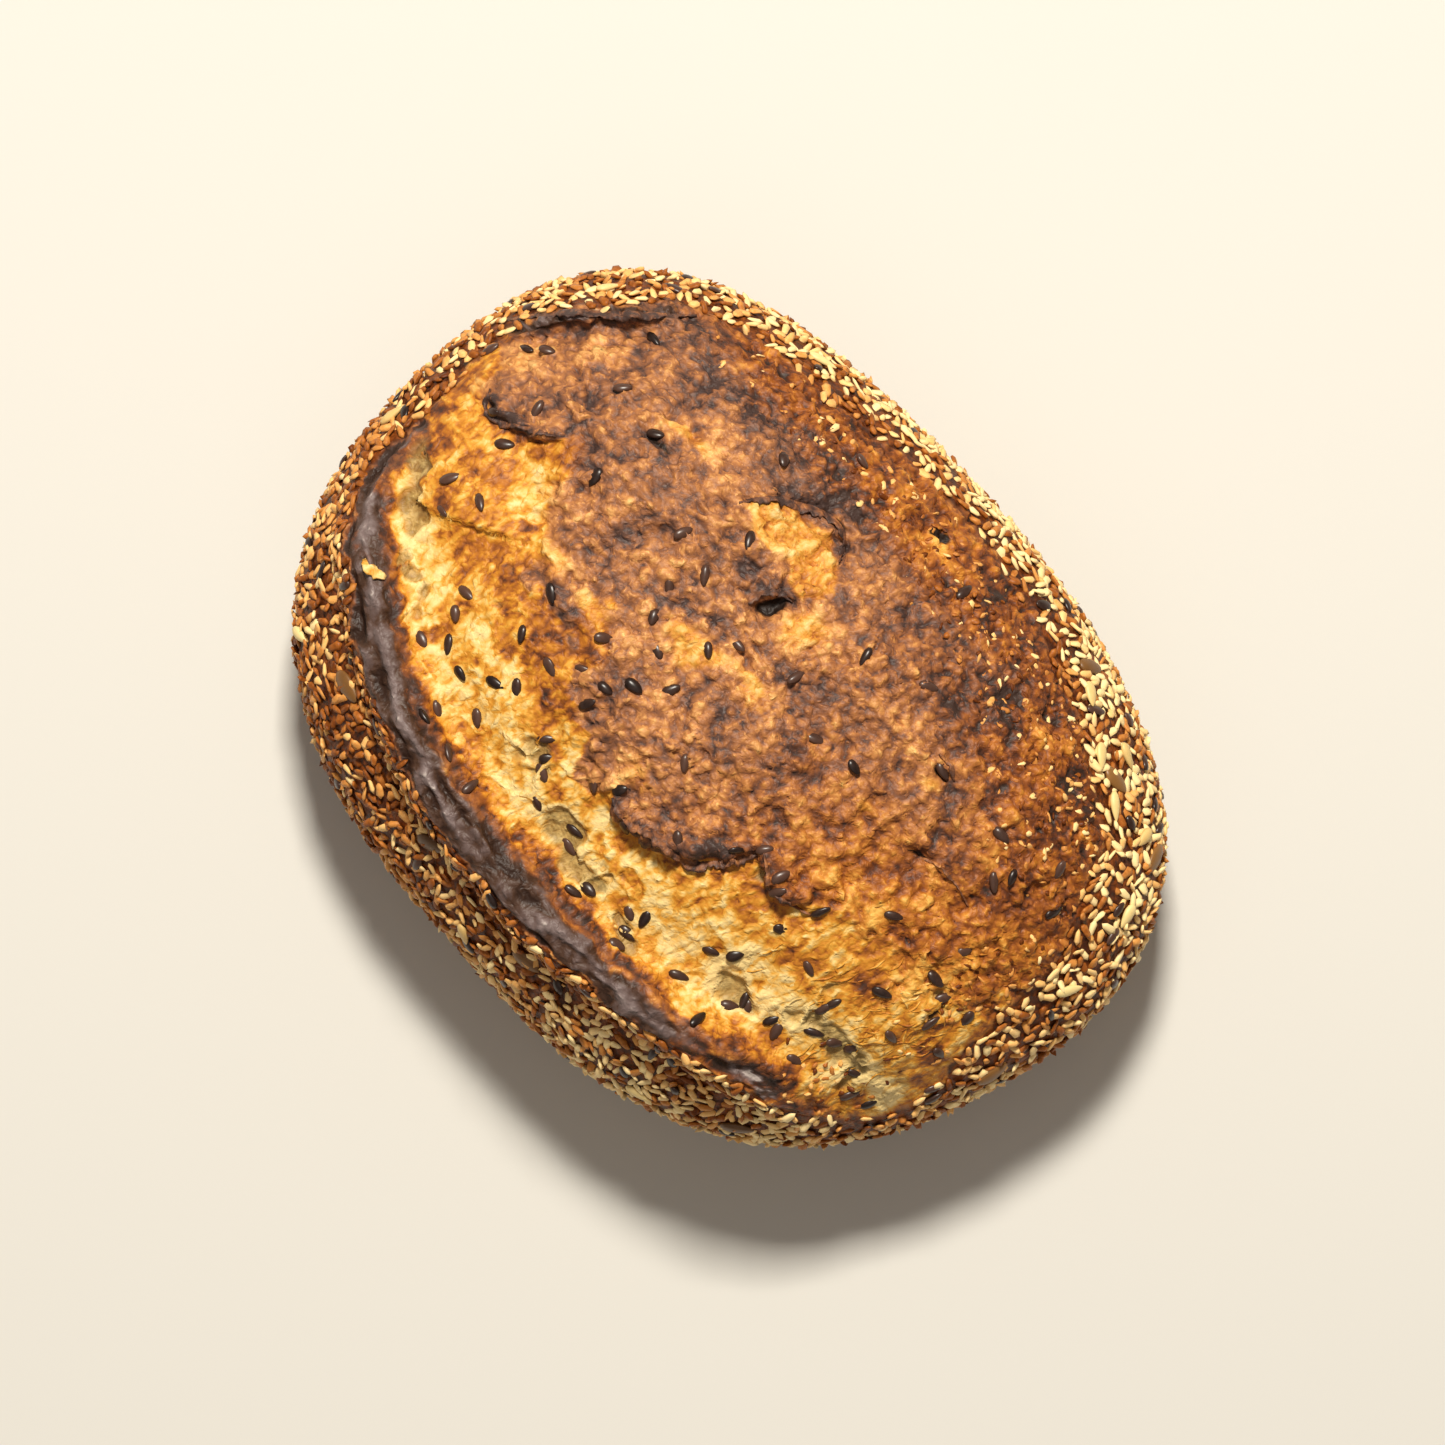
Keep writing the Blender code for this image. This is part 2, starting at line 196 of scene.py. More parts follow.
def smooth_step(low, high, value):
    """0 below low, 1 above high, and an even S between them."""
    share = np.clip((value - low) / (high - low), 0.0, 1.0)
    return share * share * (3.0 - 2.0 * share)


def curve_through(points, steps=6):
    """Points along a smooth curve that passes through the given ones."""
    given = np.array(points, float)
    ends = np.vstack([2 * given[0] - given[1], given, 2 * given[-1] - given[-2]])
    share = (np.arange(steps) / steps)[:, None]
    curve = []
    for before, start, end, after in zip(ends, ends[1:], ends[2:], ends[3:]):
        bend = 2 * before - 5 * start + 4 * end - after
        twist = 3 * (start - end) + after - before
        curve.append(start + 0.5 * share * (end - before + share * (bend + share * twist)))
    return np.vstack(curve + [given[-1:]])


def line_distance(x, y, line):
    """How far each place is from a line, positive on its left, and its share of the way along."""
    points = curve_through(line)
    best = np.full(len(x), 1e9)
    side = np.ones(len(x))
    share = np.zeros(len(x))
    for number, (start, end) in enumerate(zip(points[:-1], points[1:])):
        run = end - start
        gap_x, gap_y = x - start[0], y - start[1]
        along = np.clip((gap_x * run[0] + gap_y * run[1]) / run.dot(run), 0.0, 1.0)
        distance = np.hypot(gap_x - along * run[0], gap_y - along * run[1])
        nearer = distance < best
        best = np.where(nearer, distance, best)
        side = np.where(nearer, np.sign(run[0] * gap_y - run[1] * gap_x), side)
        share = np.where(nearer, (number + along) / (len(points) - 1), share)
    return side * best, share


def section_rise(distance, share, section, fade):
    """How far a line's section lifts each place, dying away at both ends of the line."""
    shape = curve_through(section, 8)
    ends = smooth_step(0.0, fade, share) * smooth_step(0.0, fade, 1.0 - share)
    return ends * np.interp(distance, shape[:, 0], shape[:, 1])


def outline_radius(angle):
    """How far the widest girth is from the middle, at each angle round the loaf."""
    long_way = np.abs(np.cos(angle)) / HALF_LENGTH
    cross_way = np.abs(np.sin(angle)) / HALF_WIDTH
    radius = (long_way**OVAL_POWER + cross_way**OVAL_POWER) ** (-1 / OVAL_POWER)
    for order, swell, peak in LOBES:
        radius = radius + swell * np.cos(order * (angle - math.radians(peak)))
    return radius


def bare_loaf(ways):
    """The smooth loaf's surface in each direction of a unit sphere, flat where it rests."""
    angle = np.arctan2(ways[:, 1], ways[:, 0])
    up = ways[:, 2]
    level = np.sqrt(np.clip(1 - up**2, 0.0, 1.0))
    upper = up >= 0
    reach = outline_radius(angle) * level ** np.where(upper, 2 / CROWN_ROUND, 2 / SIDE_ROUND)
    crown = WAIST + (HEIGHT - WAIST) * np.abs(up) ** (2 / CROWN_RISE)
    side = WAIST - (WAIST + BASE_SINK) * np.abs(up) ** (2 / SIDE_DROP)
    height = np.where(upper, crown, np.maximum(side, 0.0))
    return np.stack([reach * np.cos(angle), reach * np.sin(angle), height], axis=1)


def opening_depth(x, y):
    """Metres inside the oval that the seeded coat leaves free, negative outside it."""
    across = (x - OPENING_CENTRE[0]) / OPENING_HALF[0]
    upward = (y - OPENING_CENTRE[1]) / OPENING_HALF[1]
    out = (np.abs(across) ** OPENING_POWER + np.abs(upward) ** OPENING_POWER) ** (1 / OPENING_POWER)
    return (1 - out) * OPENING_HALF[1]


def spot_cover(x, y, spots, power=1.5):
    """The sum of soft oval spots, each X, Y, half length, half width, turn in degrees, strength."""
    total = np.zeros_like(x)
    for centre_x, centre_y, half_length, half_width, turn, strength in spots:
        cosine, sine = math.cos(math.radians(turn)), math.sin(math.radians(turn))
        along = ((x - centre_x) * cosine + (y - centre_y) * sine) / half_length
        across = ((y - centre_y) * cosine - (x - centre_x) * sine) / half_width
        total += strength * np.exp(-((along**2 + across**2) ** power))
    return total


def blister_rise(x, y):
    """Small uneven swellings spread over the whole top by a seeded rule."""
    rng = np.random.default_rng(BLISTER_SEED)
    rise = np.zeros_like(x)
    for _ in range(BLISTER_COUNT):
        angle, out = rng.uniform(0, 2 * math.pi), math.sqrt(rng.uniform(0, 1))
        centre_x = out * BLISTER_SPREAD * HALF_LENGTH * math.cos(angle)
        centre_y = out * BLISTER_SPREAD * HALF_WIDTH * math.sin(angle)
        reach, height = rng.uniform(*BLISTER_REACH), rng.uniform(*BLISTER_RISE)
        rise += height * np.exp(-((x - centre_x) ** 2 + (y - centre_y) ** 2) / reach**2)
    return rise


def cloud(places, size, seed, layers=1):
    """Smooth random values about 0 that change over this many metres, with any finer layers."""
    table = np.random.default_rng(seed).uniform(-1, 1, (CLOUD_TABLE, CLOUD_TABLE, CLOUD_TABLE))
    total = np.zeros(len(places))
    for layer in range(layers):
        scaled = places * 2.0**layer / size
        cell = np.floor(scaled).astype(int)
        part = scaled - cell
        part = part * part * (3 - 2 * part)
        for corner in np.ndindex(2, 2, 2):
            weight = np.prod(np.where(corner, part, 1 - part), axis=1)
            row, column, depth = ((cell + corner + 5 * layer) % CLOUD_TABLE).T
            total += 0.5**layer * weight * table[row, column, depth]
    return total


def drifted(values, swings, seed):
    """Values moved by layers of cloud over the loaf, each with its swing and its size."""
    for number, (swing, size) in enumerate(swings):
        values = values + swing * cloud(bare, size, seed + number)
    return values


crust_shape = bmesh.new()
bmesh.ops.create_cube(crust_shape, size=2.0)
bottom = [face for face in crust_shape.faces if face.calc_center_median().z < -0.5]
bmesh.ops.delete(crust_shape, geom=bottom, context="FACES_KEEP_BOUNDARY")
upright = [edge for edge in crust_shape.edges if abs(edge.verts[0].co.z - edge.verts[1].co.z) > 1.0]
bmesh.ops.subdivide_edges(crust_shape, edges=upright, cuts=SIDE_CUTS)
level = [edge for edge in crust_shape.edges if abs(edge.verts[0].co.z - edge.verts[1].co.z) < 1e-4]
bmesh.ops.subdivide_edges(crust_shape, edges=level, cuts=TOP_CUTS, use_grid_fill=True)
hem = [edge for edge in crust_shape.edges if edge.is_boundary]
base = bmesh.ops.contextual_create(crust_shape, geom=hem)["faces"]
bmesh.ops.inset_individual(crust_shape, faces=base, thickness=BASE_INSET)
cube_x, cube_y, cube_z = np.array([vertex.co for vertex in crust_shape.verts]).T
round_x, round_y = cube_x * np.sqrt(1 - cube_y**2 / 2), cube_y * np.sqrt(1 - cube_x**2 / 2)
turned, outward = np.arctan2(round_y, round_x), np.minimum(np.hypot(round_x, round_y), 1.0)
rim_fall = math.asin(TOP_SHARE ** (CROWN_ROUND / 2))
base_fall = math.pi - math.acos((WAIST / (WAIST + BASE_SINK)) ** (SIDE_DROP / 2))
fall = rim_fall + (base_fall - rim_fall) * (1 - cube_z) / 2
fall = np.where(cube_z > 0.9999, np.arcsin((TOP_SHARE * outward) ** (CROWN_ROUND / 2)), fall)
fall = np.where(cube_z < -0.9999, base_fall + (math.pi - base_fall) * (1 - outward), fall)
level_part = np.sin(fall)
ways = np.stack([np.cos(turned) * level_part, np.sin(turned) * level_part, np.cos(fall)], axis=1)
bare = bare_loaf(ways)
bare_x, bare_y = bare[:, 0], bare[:, 1]
on_top = smooth_step(*TOP_FADE, ways[:, 2])
ragged = drifted(0.0, RAGGED_EDGES, 1)
ear_gap, ear_share = line_distance(bare_x, bare_y, EAR_LINE)
lip_gap, lip_share = line_distance(bare_x, bare_y, LIP_LINE)
ledge_gap, ledge_share = line_distance(bare_x, bare_y, LEDGE_LINE)
depth = opening_depth(bare_x, bare_y)
opened = smooth_step(0.0, OPENING_EDGE, depth) * smooth_step(0.0, OPENING_EDGE, ear_gap) * on_top
waves = 1 + sum(
    swell * np.sin(2 * math.pi * turns * ear_share + start) for turns, swell, start in EAR_WAVES
)
ear_rise = section_rise(ear_gap + 0.5 * ragged, ear_share, EAR_SECTION, EAR_FADE) * waves
rise = ear_rise + OPENING_SWELL * opened + section_rise(-lip_gap, lip_share, LIP_SECTION, LIP_FADE)
sharp_ledge = np.clip(sum(
    smooth_step(fade, 0.0, np.abs(bare_x - middle) - half) for middle, half, fade in SHARP_LEDGES
), 0.0, 1.0)
ledge_rise = section_rise(ledge_gap + 1.3 * ragged, ledge_share, LEDGE_SECTION, LEDGE_FADE)
rise += ledge_rise * (SOFT_LEDGE + (1 - SOFT_LEDGE) * sharp_ledge)
rise += spot_cover(bare_x, bare_y, HOLLOWS) + blister_rise(bare_x, bare_y)
form = bare.copy()
form[:, 2] += on_top * rise
out = np.hypot(bare_x, bare_y) + 1e-9
lean = EAR_LEAN * on_top * np.clip(ear_rise / max(lift for _, lift in EAR_SECTION), 0.0, 1.0)
form[:, 0] += lean * bare_x / out
form[:, 1] += lean * bare_y / out
for vertex, point in zip(crust_shape.verts, form):
    vertex.co = point
bmesh.ops.recalc_face_normals(crust_shape, faces=crust_shape.faces[:])
crust_mesh = bpy.data.meshes.new("loaf_crust")
crust_shape.to_mesh(crust_mesh)
crust_shape.free()


def point_normals(mesh):
    """The way that the surface faces at each corner point of a mesh."""
    facing = np.empty(len(mesh.vertices) * 3)
    mesh.vertices.foreach_get("normal", facing)
    return facing.reshape(-1, 3)


normals = point_normals(crust_mesh)

# The torn and baked surface of that crust. Its relief goes along its own normals, and numbers kept
# at its points say how far each place is baked: cream crumb beside the ear, then gold, amber and
# brown skin to charcoal, with the charred ear itself and the bed of the seeded coat. Mixed into
# them are painted shade in creases, knob borders, pits and cracks, and painted highlights on fold
# ridges, along the ear's crest and in glints near its far end.
COAT_EDGE_MM = (
    (-104, -8), (-105, 8), (-106, 20), (-101, 33), (-94, 43), (-84, 57), (-72, 63.5), (-58, 66.5),
    (-40, 69.5), (-20, 75), (0, 77.5), (20, 75.5), (40, 72), (52, 68), (62, 64), (72, 59), (80, 53),
    (85, 45), (91, 37), (95.5, 27), (97.5, 14), (98.5, 0), (101, -10), (103.5, -20), (100, -31),
    (90, -40), (70, -56), (40, -66), (0, -71), (-40, -68), (-70, -59), (-95, -40), (-103, -22),
)
GOLD_SPOTS_MM = (
    (-4, 28.7, 6.5, 4, 51, 0.9), (-21, 5, 9, 4.5, -10, 1.0), (-12, 9, 9, 4, 20, 0.7),
    (2, 7, 7, 6, 0, 0.65), (-40, -8, 6, 3.5, 0, 0.9), (-58, 35.5, 9, 2.6, 10, 0.8),
    (-1, 65, 6, 3.5, 0, 0.8), (3, 67, 10, 2, 10, 0.4), (-74, 3, 10, 5, -30, 0.95),
    (-68, -4, 8, 5, -40, 1.0), (-98, -2, 6, 13, 10, 0.78), (-88, -6, 8, 6, 0, 0.5),
    (-86.5, -13.5, 9, 4.5, -75, 1.9), (45, 29, 3, 2, 0, 0.8), (38, 13, 2.5, 2, 0, 0.6),
    (48, -2, 14, 6, 10, 0.6), (60, -6, 12, 7, 0, 0.6), (46, 15, 9, 6, 0, 0.5),
    (28, 30, 12, 9, 0, 0.12), (-13, 52, 7, 4, 0, 0.25), (64, 10, 9, 5, 20, 0.4),
    (25, 3, 5, 4, 0, 0.4), (82, 5, 5, 11, 0, 0.6), (88, -12, 11, 11, 0, 0.8),
    (-88, 36, 5, 4, 0, 0.4), (-98, 18, 4, 8, -20, 0.5), (-50, 41, 11, 5, 0, 0.35),
    (15, 33, 12, 7, 0, 0.25), (12, -2, 7, 6, 0, 0.3), (-55, -8, 6, 5, 0, 0.8),
    (-28, -8, 8, 5, 0, 0.3), (-5, -12, 9, 6, 0, 0.4), (-62, 58, 5, 1.4, 15, 0.5),
    (8, 66, 3, 3, 0, 0.6), (100, -18, 5, 12, 0, 0.6), (-3, -25, 7, 4, -10, 0.7),
    (33, -3, 4, 4, 0, 0.3), (-2, 12, 4, 3, 0, 0.5), (75, -4, 8, 6, 0, 0.4), (76, 26, 7, 6, 0, 0.2),
)
# Dark baked patches. The rows at (-99, 27.5) and (-90, 40) along the lip's inner side and at (-60,
# 29) below a fold are painted shadow.
BURNT_AND_SHADE_SPOTS_MM = (
    (-25, 57, 12, 4, 5, 0.8), (-57, 51, 10, 5, -10, 0.9), (-70, 50, 3.5, 6, 0, 0.8),
    (-75, 57, 12, 3, 20, 0.6), (-40, 52, 4, 4, 0, 0.5), (-19, 28, 5, 3.5, 60, 0.6),
    (-48, 17, 6, 3, 60, 0.5), (-28, 30, 3, 5, 20, 0.4), (-44, -12.8, 9, 3.0, -13, 1.0),
    (-60, 29, 6, 2.2, 8, 0.9), (-99, 27.5, 12, 1.8, 57, 1.0), (-90, 40, 7, 1.6, 52, 0.8),
    (-66, 17, 4, 3.5, 0, 0.6), (-44, 1, 4, 3, 0, 0.6), (-32, 8, 8, 8, 0, 0.30),
    (60, 3, 7, 4, 0, 0.25), (-90, 5, 9, 4, 0, 0.25), (-22, -10, 14, 5, 0, 0.25),
    (10, 8, 14, 10, 0, 0.38), (15, 66, 30, 5, 0, 0.45), (-42, 50, 14, 12, 0, 0.35),
    (-30, 20, 4, 2.5, -40, 0.4), (5, 20, 8, 4, 0, 0.9), (10, 23, 4, 3, 0, 0.5),
    (40, 54, 10, 3, -12, 0.75), (47, 50, 4, 4, 0, 0.7), (22, 57, 9, 2.5, 0, 0.4),
    (0, 56, 12, 2.5, 0, 0.45), (58, 22, 8, 2.5, 20, 0.5), (62, 37, 5, 2.5, 0, 0.4),
    (27, 17, 4, 3, 0, 0.5), (17, 14, 5, 2, 40, 0.5), (-48, -13, 8, 2.2, -12, 0.8),
    (-36, -16, 4, 2.5, 0, 0.7), (-16, -27, 4, 3.5, 0, 0.6), (-57, 0, 5, 3, 0, 0.5),
    (-50, 8, 5, 3, 60, 0.5), (-70, 12, 9, 2.5, 15, 0.6), (-92, 3, 5, 3.5, 30, 0.7),
    (20, -20, 8, 3.5, 30, 0.4), (16, 0, 3.5, 9, 0, 0.3), (-14, 27, 6.5, 4, 62, 0.6),
    (-27, 50, 9, 2.2, 28, 0.8), (-82, 44, 3, 3, 0, 0.5), (-75, 31, 3, 3, 0, 0.3),
    (34, 40, 6, 3, -20, 0.3), (92, 8, 3, 11, 0, 0.15), (75, 45, 8, 7, 0, 0.3),
    (-100, 32, 3, 4, 0, 0.5), (30, -16, 3.5, 3.5, 60, 0.6), (-8, 36.5, 5, 1.5, 25, 0.7),
)
TAN_SPOTS_MM = ((36, 28, 28, 15, -6, 0.75),)
# Painted shadow: dark spots in the pits and in the cracks under torn flaps and the lip, where shade
# falls. The crust is dented there too.
PIT_SHADOW_SPOTS_MM = (
    (-13.6, 26.5, 4.0, 1.8, 62, 1.1), (-28.5, 46.6, 3.8, 1.0, 36, 1.0),
    (-21, 50.6, 5, 1.0, 12, 1.0), (-34.5, 41.5, 5, 0.6, 60, 0.9), (-12, 47, 3, 0.5, -55, 0.7),
    (-1.2, 69, 2.8, 1.3, 8, 1.0), (-99.3, 27.4, 7, 0.8, 57, 0.9), (-91, 39.6, 6, 0.7, 53, 0.8),
    (43, 33, 2.4, 1.2, 0, 0.9), (-60, 30.5, 4, 0.9, 8, 0.8), (56, 16.4, 3.5, 0.6, 24, 0.8),
    (65, 18.2, 6, 0.35, 0, 0.6), (-31, 19.5, 2.5, 1.4, -40, 0.6), (11, 66, 1.6, 1.4, 0, 0.6),
    (87.5, -4, 0.6, 6, 4, 0.8), (31, -11, 2, 0.9, 60, 0.7), (-94, 4.5, 1.6, 1.2, 60, 0.7),
)
POCKET_SPOTS_MM = (
    (-95, -18, 7, 3, -55, 1.0), (-86, -27, 5, 3, -30, 1.0), (-77, -36, 6, 2.2, -35, 0.9),
    (-69, -38, 6, 2, -35, 0.8), (-44, -50, 4, 2, -20, 0.6), (-21, -40, 5, 3.5, 20, 1.0),
    (-4, -46, 7, 3, -10, 1.0), (8, -50, 8, 2.6, 5, 1.0), (24, -50, 7, 2.6, 0, 0.9),
    (35, -15, 3, 4, 0, 0.7), (53, -38, 7, 3, 10, 1.0), (68, -29, 6, 2.4, 20, 0.9),
    (78, -28, 4, 4, 0, 0.8), (85.5, -30, 4.5, 5.5, 0, 1.1), (94, -19, 2, 5, 0, 0.4),
    (84, 4, 3, 8, 0, 0.7), (60, -14, 3, 3, 0, 0.6), (66, -20, 2, 6, 0, 0.5), (-78, 3, 3, 2, 0, 0.6),
    (-56, -26, 6, 4, 0, 0.4), (15, -44, 12, 3, 0, 0.5),
)
ISLAND_EDGE_MM = (
    (-38, 37.6), (-33, 44), (-26, 48.5), (-16, 50), (-9, 45), (-6, 40.5), (-9, 33), (-13, 31.8),
    (-20.5, 36), (-29, 32), (-35, 35.5),
)
ISLAND_MIDDLE = (-0.0200, 0.0415)
PALE_LINE_MM = (
    (-92, -22, 4), (-80, -31, 5), (-60, -38, 6.5), (-40, -42, 7.5), (-20, -44, 8), (0, -44, 7.5),
    (20, -42, 7), (40, -40, 7), (60, -33.5, 6.5), (80, -29, 6), (96, -26, 3),
)
EAR_BAND = (
    (0.0, 0.0, 0.0010), (0.03, -0.0010, 0.0020), (0.10, -0.0016, 0.0040), (0.16, -0.0012, 0.0052),
    (0.21, -0.0016, 0.0058), (0.26, -0.0034, 0.0060), (0.32, -0.0036, 0.0058),
    (0.40, -0.0022, 0.0054), (0.50, -0.0018, 0.0066), (0.60, -0.0020, 0.0064),
    (0.70, -0.0024, 0.0042), (0.80, -0.0022, 0.0030), (0.90, -0.0022, 0.0016), (1.0, -0.0010, 0.0),
)
FRINGE_REACH = (
    (0.0, 0.0018), (0.25, 0.0028), (0.42, 0.0034), (0.55, 0.0046), (0.66, 0.0032), (0.80, 0.0026),
    (1.0, 0.0018),
)
SURFACE_DRIFT = ((0.0013, 0.0050), (0.0006, 0.0021))
SPOT_DRIFT = ((0.0022, 0.0075), (0.0010, 0.0028))
CELL_TABLE = 64
WEB_SIZE, WEB_RISE, POCKET_DEPTH = 0.0072, 0.00058, 0.0013
KNOB_SPACING, KNOB_RISE, SMALL_KNOB_SPACING, SMALL_KNOB_RISE = 0.0042, 0.00115, 0.0022, 0.00056
FOLD_SIZE, FOLD_RISE, CREASE_SIZE, CREASE_DEPTH = 0.0080, 0.00100, 0.0052, 0.00080
EAR_GRAIN, FRINGE_RISE, RIM_RISE = 0.00080, 0.00100, 0.00150
COAT_LUMPS, COAT_BED, PIT_DEPTH = 0.00030, 0.00030, 0.0016


def millimetres(spots):
    """Soft spots read in millimetres, as spot_cover takes them."""
    return [(*(size / 1000 for size in spot[:4]), *spot[4:]) for spot in spots]


def closed_edge_depth(x, y, edge_mm, middle=(0.0, 0.0)):
    """Metres inside a closed line round a middle, along the radius, negative outside it."""
    points = np.array(edge_mm) / 1000 - middle
    x, y = x - middle[0], y - middle[1]
    around = curve_through(np.vstack([points[-2:], points, points[:2]]))
    turns = np.unwrap(np.arctan2(around[:, 1], around[:, 0]))
    order = np.argsort(turns)
    reach = np.hypot(*around.T)[order]
    radius = np.interp(np.arctan2(y, x), turns[order], reach, period=2 * math.pi)
    return radius - np.hypot(x, y)


def cells(x, y, spacing, seed):
    """Cells as in crazed glaze: how far off the border is, in spacings, and each cell's tone."""
    rng = np.random.default_rng(seed)
    offsets = rng.uniform(0.1, 0.9, (CELL_TABLE, CELL_TABLE, 2))
    tones = rng.uniform(0, 1, (CELL_TABLE, CELL_TABLE))
    cell_x, cell_y = np.floor(x / spacing).astype(int), np.floor(y / spacing).astype(int)
    first, second, tone = np.full(len(x), 9.0), np.full(len(x), 9.0), np.zeros(len(x))
    for step_x, step_y in np.ndindex(3, 3):
        near_x, near_y = cell_x + step_x - 1, cell_y + step_y - 1
        entry = near_x % CELL_TABLE, near_y % CELL_TABLE
        offset = offsets[entry]
        gap = np.hypot(x / spacing - near_x - offset[:, 0], y / spacing - near_y - offset[:, 1])
        nearer = gap < first
        second = np.where(nearer, first, np.minimum(second, gap))
        tone = np.where(nearer, tones[entry], tone)
        first = np.where(nearer, gap, first)
    return second - first, tone


warp_x, warp_y = drifted(bare_x, SURFACE_DRIFT, 31), drifted(bare_y, SURFACE_DRIFT, 33)
spot_x, spot_y = drifted(bare_x, SPOT_DRIFT, 35), drifted(bare_y, SPOT_DRIFT, 37)
gold = spot_cover(spot_x, spot_y, millimetres(GOLD_SPOTS_MM), 1.4)
island_depth = closed_edge_depth(spot_x, spot_y, ISLAND_EDGE_MM, ISLAND_MIDDLE)
island = smooth_step(-0.0010, 0.0016, island_depth)
gold = np.maximum(gold, island)
# Dark baked patches, with the painted shadow of the rows named above.
burnt_and_shade = spot_cover(spot_x, spot_y, millimetres(BURNT_AND_SHADE_SPOTS_MM), 1.2)
# The pits: dented in the relief and painted dark, a painted shadow.
pit = spot_cover(bare_x + 0.8 * ragged, bare_y + 0.5 * ragged, millimetres(PIT_SHADOW_SPOTS_MM))
pit = np.clip(pit, 0.0, 1.0)
pocket_cover = spot_cover(spot_x, spot_y, millimetres(POCKET_SPOTS_MM), 1.2)

# Where the coat, the ear, the lip and the open crumb lie.
coat_depth = closed_edge_depth(bare_x, bare_y, COAT_EDGE_MM) + 1.2 * ragged
uncoated = smooth_step(-0.0006, 0.0014, coat_depth) * on_top
band_share, band_low, band_high = np.array(EAR_BAND).T
ear_low = np.interp(ear_share, band_share, band_low)
ear_high = np.interp(ear_share, band_share, band_high)
ear_wobble = 0.0016 * cloud(bare, 0.0060, 55, 2) * smooth_step(0.25, 0.05, ear_share)
ear_wobble = ear_gap + 0.9 * ragged + ear_wobble
ear_band = smooth_step(-0.0005, 0.0005, ear_wobble - ear_low)
ear_band *= smooth_step(0.0016, -0.0016, ear_wobble - ear_high)
ear_band *= on_top * (np.minimum(ear_share, 1 - ear_share) > 0)
# The lip band: a dark baked strip along the lip, coloured like the ear; on its inner side it is in
# part painted shade under the lip.
lip_band = smooth_step(0.0020, 0.0010, np.abs(lip_gap - 0.0006 + 0.7 * ragged)) * on_top
lip_band *= smooth_step(0.03, 0.12, lip_share) * smooth_step(0.0, 0.20, 1.0 - lip_share)
outside_ear = smooth_step(0.0, -0.001, ear_wobble - ear_low) * (bare_y < 0)
coat = np.clip(np.maximum(1 - uncoated, outside_ear) - ear_band - 0.8 * lip_band, 0.0, 1.0)
open_face = np.clip(1 - coat - ear_band, 0.0, 1.0)
below = ledge_gap + 1.3 * ragged + (1 - sharp_ledge) * 0.0110 * cloud(bare, 0.0110, 39, 3)
crumb = open_face * smooth_step(0.0006, -0.0008, below) * (ear_gap > 0)
fringe_reach = np.interp(ear_share, *np.array(FRINGE_REACH).T)
fringe = smooth_step(1.0, 0.45, (ear_wobble - ear_high + 1.3 * ragged) / fringe_reach)
fringe *= open_face * (ear_gap > 0)
fringe *= smooth_step(0.02, 0.10, ear_share) * smooth_step(0.0, 0.12, 1 - ear_share)
skin = open_face * (1 - crumb)

# The relief of each: stretched webs in the crumb, knobs and creases on the skin, and wrinkles on
# the ear.
stretch = 1.25 + 0.9 * smooth_step(0.045, 0.070, bare_x)
crumb_places = np.stack([warp_x, warp_y / stretch, 0.5 * form[:, 2]], axis=1)
web = smooth_step(0.16, 0.0, np.abs(cloud(crumb_places, WEB_SIZE, 41, 2)))
fine_web = smooth_step(0.20, 0.0, np.abs(cloud(crumb_places, WEB_SIZE / 2.6, 42, 2)))
pocket_reach = 1.3 * pocket_cover + 0.5 * cloud(bare, 0.0055, 40, 2) - 0.15 - 0.8 * web
pocket = smooth_step(0.25, 0.75, pocket_reach) * crumb
pocket_rim = smooth_step(-0.10, 0.12, pocket_reach) * smooth_step(0.55, 0.30, pocket_reach) * crumb
knob_border, knob_tone = cells(warp_x, warp_y, KNOB_SPACING, 43)
small_border, small_tone = cells(warp_x + 0.0004 * ragged, warp_y, SMALL_KNOB_SPACING, 58)
knob = smooth_step(0.0, 0.45, knob_border) * (0.25 + 0.75 * knob_tone)
small_knob = smooth_step(0.0, 0.50, small_border) * (0.3 + 0.7 * small_tone)
folds = 1 - 2 * np.abs(cloud(bare + 0.0022 * cloud(bare, 0.010, 44)[:, None], FOLD_SIZE, 45, 3))
warped = np.stack([warp_x, warp_y, bare[:, 2]], axis=1)
crease = smooth_step(0.08, 0.0, np.abs(cloud(warped, CREASE_SIZE, 56, 2)))
fine_crease = smooth_step(0.10, 0.0, np.abs(cloud(warped, CREASE_SIZE / 2, 57)))
crease = np.maximum(crease, 0.7 * fine_crease)
ear_places = np.stack([ear_share * 0.055, ear_gap + 0.6 * ragged, 0.0 * ear_gap], axis=1)
ear_grain = 1 - 2.6 * np.abs(cloud(ear_places, 0.0034, 46, 2)) + 0.7 * cloud(bare, 0.0046, 47, 2)
drop_border, drop_tone = cells(warp_x, warp_y, 0.0034, 59)
drops = smooth_step(0.0, 0.35, drop_border)
rim_width = np.where(bare_x < -0.05, 0.0022, 0.0044)
rim = sharp_ledge * smooth_step(1.2, 0.6, below / rim_width)
rim *= smooth_step(-0.0012, 0.0002, below) * skin
fine = skin * (KNOB_RISE * (knob - 0.4) + SMALL_KNOB_RISE * (small_knob - 0.4))
fine += skin * (FOLD_RISE * (folds - 0.2) - CREASE_DEPTH * crease) + RIM_RISE * rim
fine -= PIT_DEPTH * pit * on_top
fine += crumb * WEB_RISE * (web + 0.5 * fine_web + 0.4 * small_knob - 0.5) - POCKET_DEPTH * pocket
fine += EAR_GRAIN * (ear_band + lip_band) * (ear_grain - 0.3) + fringe * FRINGE_RISE * (drops - 0.3)
fine += coat * (COAT_LUMPS * cloud(bare, 0.0040, 48) - COAT_BED)
fine *= smooth_step(0.0, 0.004, form[:, 2])
form += normals * fine[:, None]
crust_mesh.vertices.foreach_set("co", form.ravel())
